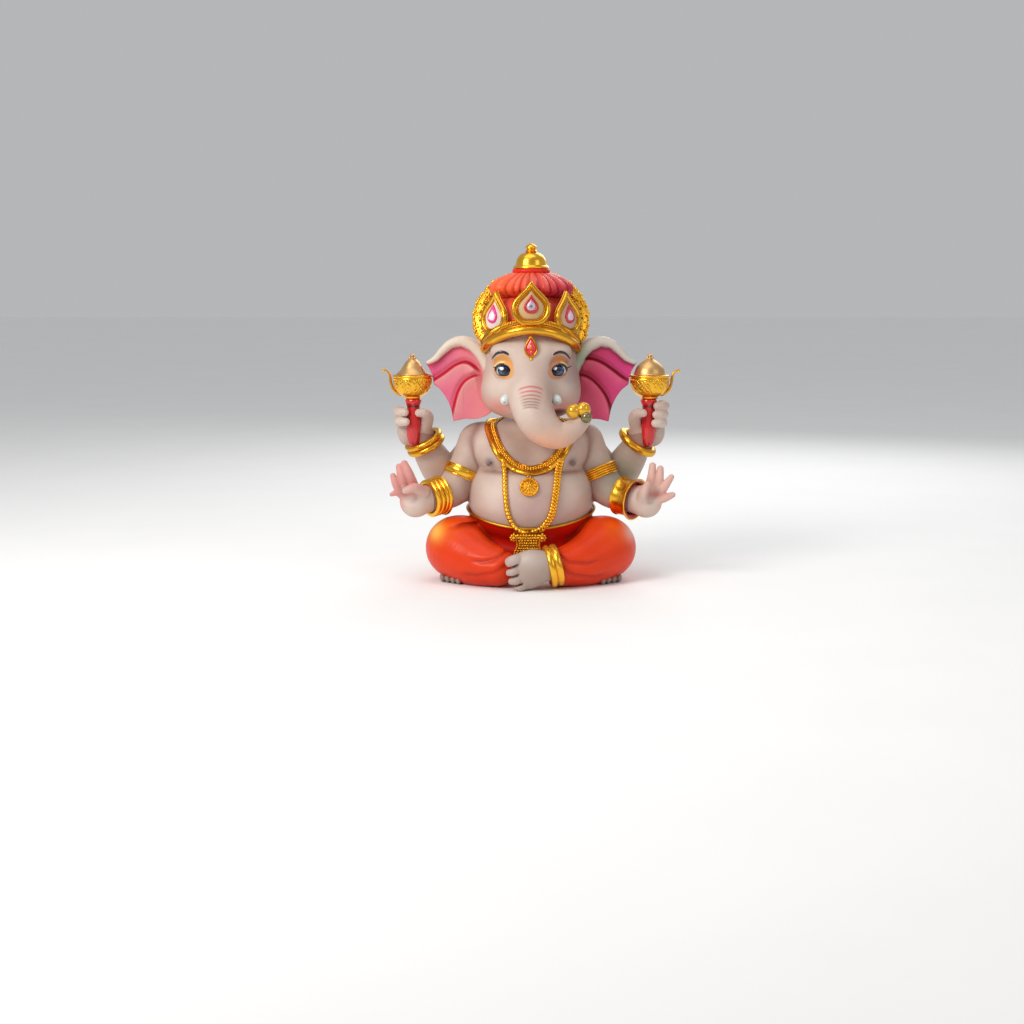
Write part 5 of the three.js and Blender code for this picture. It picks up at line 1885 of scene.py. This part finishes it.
def make_bangles():
    for word, side in SIDES:
        centre, axis, radius = on_arm(mirrored(FRONT_ARM, side), 0.97)
        shape, red_reflection = Shape(), Shape()
        if word == "right":
            shape.add(*ring_round(centre, axis, humps(radius + 0.9, 7.6, 1.6, 3)))
            shape.add(*ring_round(centre - 4.2 * axis, axis, humps(radius + 1.8, 2.2, 1.4, 1)))
        else:
            inner = radius + 1.2
            outer = [
                (inner + 1.9, -4.2), (inner + 1.4, -3), (inner + 1.2, -0.6), (inner + 1.35, 1.8),
                (inner + 1.9, 3.4), (inner + 2.5, 4.2),
            ]
            rim = [(inner + 2.5, 4.6), (inner + 1.9, 4.7)]
            back = [
                (inner + 1.3, 3.6), (inner + 0.9, 1), (inner + 0.8, -2), (inner + 1.1, -3.8),
                (inner + 1.6, -4.4),
            ]
            shape.add(*ring_round(centre, axis, smooth_line(outer + rim + back, 44, closed=True)))
            # A red band inside the cuff's rim: a painted reflection of red at its edges.
            red_reflection_back = [
                (inner + 1.9, 4.5), (inner + 1.2, 3.5), (inner + 0.8, 1), (inner + 0.7, -2),
                (inner + 1.6, -4.5),
            ]
            inside = [(inner + 0.2, -4.2), (inner + 0.2, 4.2)]
            red_reflection.add(*ring_round(centre, axis, np.array(red_reflection_back + inside)), tint=CUFF_RED)
            red_reflection.build(f"cuff_red_reflection_{word}", GLOSS, "grip_red")
        shape.build(f"wrist_cuff_{word}", GOLD, "gold", (f"front_bangle_{word}",))
        make_upper_bangle(word, side)


def make_upper_bangle(word, side):
    """Tilted so that its inner end is high: two slim rings on the right arm, one thick one on the left."""
    lean = 0.43 if word == "right" else 0.57
    centre, axis, inner = np.array([side * 53.5, 4.8, 66.4]), (side * lean, -0.25, 0.87), 6.8
    shape = Shape()
    turn = np.linspace(0, 2 * math.pi, 20, endpoint=False)
    rolls = ((-1.6, 1.7), (1.5, 1.6)) if word == "right" else ((0, 2.2),)
    for shift, size in rolls:
        section = np.stack([inner + 1.8 + size * np.sin(turn), shift + size * 0.95 * np.cos(turn)], 1)
        shape.add(*ring_round(centre, axis, section))
    shape.build(f"upper_bangle_{word}", GOLD, "gold", (f"rear_bangle_{word}",))


def make_anklet():
    """Two smooth tilted bands side by side round the ankle."""
    section = humps(9.2, 6.6, 1.0, 2, 14)
    points, faces = ring_round(np.array([10.9, -40.2, 11.2]), (0.97, 0.14, 0.22), section)
    points[:, 2] = np.maximum(points[:, 2], 0.05)
    Shape().add(points, faces).build("anklet_rings", GOLD, "gold", ("anklet",))


def make_jewellery():
    make_collar()
    make_necklace()
    make_pendant()
    make_belt()
    make_armlets()
    make_bangles()
    make_anklet()


make_jewellery()


# ---------------------------------------------------------------- lamps

LAMP_X = 58.6
BOWL_X = 59.0
GRIP = (
    (0.4, 64.6), (1.6, 64.8), (2.5, 65.8), (3.0, 67.6), (3.4, 70.6), (3.6, 74), (3.5, 77.4), (3.3, 80.6),
    (3.2, 83.2), (3.3, 85), (3.8, 86.3), (4.1, 87.2), (4.0, 88.1), (3.4, 88.6), (1.0, 88.8),
)
BOWL = (
    (2.2, 88.6), (3.8, 88.7), (4.3, 89.2), (4.6, 89.9), (6.4, 90.8), (8.0, 92.6), (9.0, 94.8), (9.45, 97),
    (9.5, 98.6), (9.3, 99.3), (9.8, 99.7), (9.85, 100.2), (9.4, 100.6), (8.2, 100.7), (3, 100.7),
)
ONION_LID = (
    (8.0, 100.6), (8.1, 101), (7.7, 101.6), (7.4, 102.6), (6.7, 104.2), (5.5, 105.7), (4, 107),
    (2.6, 107.9), (1.5, 108.6),
)
CONE_LID = (
    (8.0, 100.6), (8.1, 101), (7.4, 101.6), (6.3, 102.6), (5.3, 103.9), (4.4, 105.4), (3.5, 106.8),
    (2.5, 107.8), (1.5, 108.6),
)
KNOB = (
    (1.5, 108.5), (1.9, 108.8), (1.2, 109.2), (0.9, 109.6), (1.3, 110), (1.0, 110.5), (0.45, 110.9),
    (0.3, 111.1), (0.1, 111.2),
)
SPOUT = (
    (5.6, 90.6), (8.2, 91.6), (10.2, 93.6), (11.2, 96.4), (11.5, 99), (12, 100.9), (13.2, 102.4),
    (14.6, 103), (15, 102.4),
)

HOOK = ((9.4, 99.8), (10.8, 101.2), (10.6, 102.6))


def engraved(angle, r, z):
    """Leafy scrolls pressed into the bowl's sides, under a plain rim."""
    zone = np.clip((z - 91.5) / 1.2, 0, 1) * np.clip((98.4 - z) / 0.8, 0, 1)
    swing = np.sin(8 * angle) * 2
    scroll = np.abs(np.sin(1.5 * (z - 95 + swing))) ** 0.6
    leaf = np.abs(np.cos(12 * angle + 1.1 * z)) ** 0.8
    return r + zone * (0.34 * scroll + 0.22 * leaf - 0.32), z


def make_grip(word, side):
    points, faces = lathe(smooth_line(GRIP, 90), 56)
    # Painted shade in the groove, and towards the bottom below the fist.
    groove = np.exp(-(((points[:, 2] - 85) / 0.7) ** 2))
    shade = blend_colours(np.broadcast_to(srgb(204, 12, 18), points.shape), srgb(96, 2, 8), groove)
    shade = blend_colours(shade, srgb(120, 4, 10), 0.6 * np.clip((69 - points[:, 2]) / 5, 0, 1))
    grip = Shape().add(points + (side * LAMP_X, -0.8, 0), faces, shade)
    grip.build(f"grip_turning_{word}", GLOSS, "grip_red", (f"lamp_grip_{word}",))


def make_bowl(word, bowl_at):
    points, faces = lathe(smooth_line(BOWL, 90), 260, engraved)
    bowl = Shape().add(points + bowl_at, faces)
    ring = np.linspace(0, 2 * math.pi, 46, endpoint=False)
    dots = np.stack([9.45 * np.sin(ring), -9.45 * np.cos(ring), 98.3 + 0 * ring], 1) + bowl_at
    scatter(bowl, bead(1, 6, 8), [(*spot, 0.42) for spot in dots])
    bowl.build(f"bowl_engraving_{word}", GOLD, "gold", (f"lamp_bowl_{word}",))


def make_lid(word, bowl_at):
    """A turned lid, a cone on the right and an onion on the left, with a leafy collar under its knob."""
    lid = Shape()
    cover = CONE_LID if word == "right" else ONION_LID
    for profile, count, segments in ((cover, 50, 72), (KNOB, 40, 40)):
        points, faces = lathe(smooth_line(profile, count), segments)
        lid.add(points + bowl_at, faces)
    leaf, leaf_faces = bead(1, 6, 8)
    for turn in np.linspace(0, 2 * math.pi, 7, endpoint=False):
        way = np.array([math.sin(turn), -math.cos(turn), 0])
        lid.add(leaf * (0.55, 0.55, 0.95) + way * 1.5 + (0, 0, 108.7) + bowl_at, leaf_faces)
    lid.build(f"lid_turning_{word}", GOLD_SATIN, "gold", (f"lamp_lid_{word}",))


def make_spout(word, side):
    """The curled spout on the bowl's outer side, and a small hooked tip on its inner side."""
    spout = Shape()
    line = smooth_line([(side * (LAMP_X + x), 0, z) for x, z in SPOUT], 60)
    spout.add(*sweep(line, (0, -1, 0), circle(0.75, 12), scale=lambda i: 1.25 - 0.7 * i / 60))
    tip, tip_faces = bead(0.6, 7, 10)
    spout.add(tip + line[-1], tip_faces)
    hook = smooth_line([(side * (BOWL_X - x), 0, z) for x, z in HOOK], 14)
    spout.add(*sweep(hook, (0, -1, 0), circle(0.6, 10), scale=lambda i: 1.1 - 0.05 * i))
    spout.build(f"spout_tube_{word}", GOLD, "gold", (f"lamp_spout_{word}",))


def make_lamp(word, side):
    bowl_at = np.array([side * BOWL_X, 0, 0])
    make_grip(word, side)
    make_bowl(word, bowl_at)
    make_lid(word, bowl_at)
    make_spout(word, side)


def make_hidden():
    """The dowels and the felt pad keep their CAD shapes, in steel and felt."""
    metal, pad = steel(), felt()
    for name, material in (
        ("neck_dowel", metal),
        ("crown_dowel", metal),
        ("front_arm_dowel", metal),
        ("rear_arm_dowel", metal),
        ("felt_pad", pad),
    ):
        node = frame["nodes"][name]
        for slot in node.material_slots:
            slot.material = material


for lamp_word, lamp_side in SIDES:
    make_lamp(lamp_word, lamp_side)
make_hidden()


# ---------------------------------------------------------------- the floor

def make_floor():
    """A wide pale floor."""
    size = 4000
    mesh = bpy.data.meshes.new("floor")
    corners = [(-size, -size, 0), (size, -size, 0), (size, size, 0), (-size, size, 0)]
    mesh.from_pydata([[v * MM for v in c] for c in corners], [], [(0, 1, 2, 3)])
    stuff = Stuff("floor_paper", 0.8)
    stuff.colour(stuff.ramp(stuff.noise(60), [(0.3, (0.95, 0.95, 0.945)), (0.7, (0.97, 0.97, 0.965))]))
    mesh.materials.append(stuff.material)
    floor = bpy.data.objects.new("floor", mesh)
    bpy.context.collection.objects.link(floor)


make_floor()
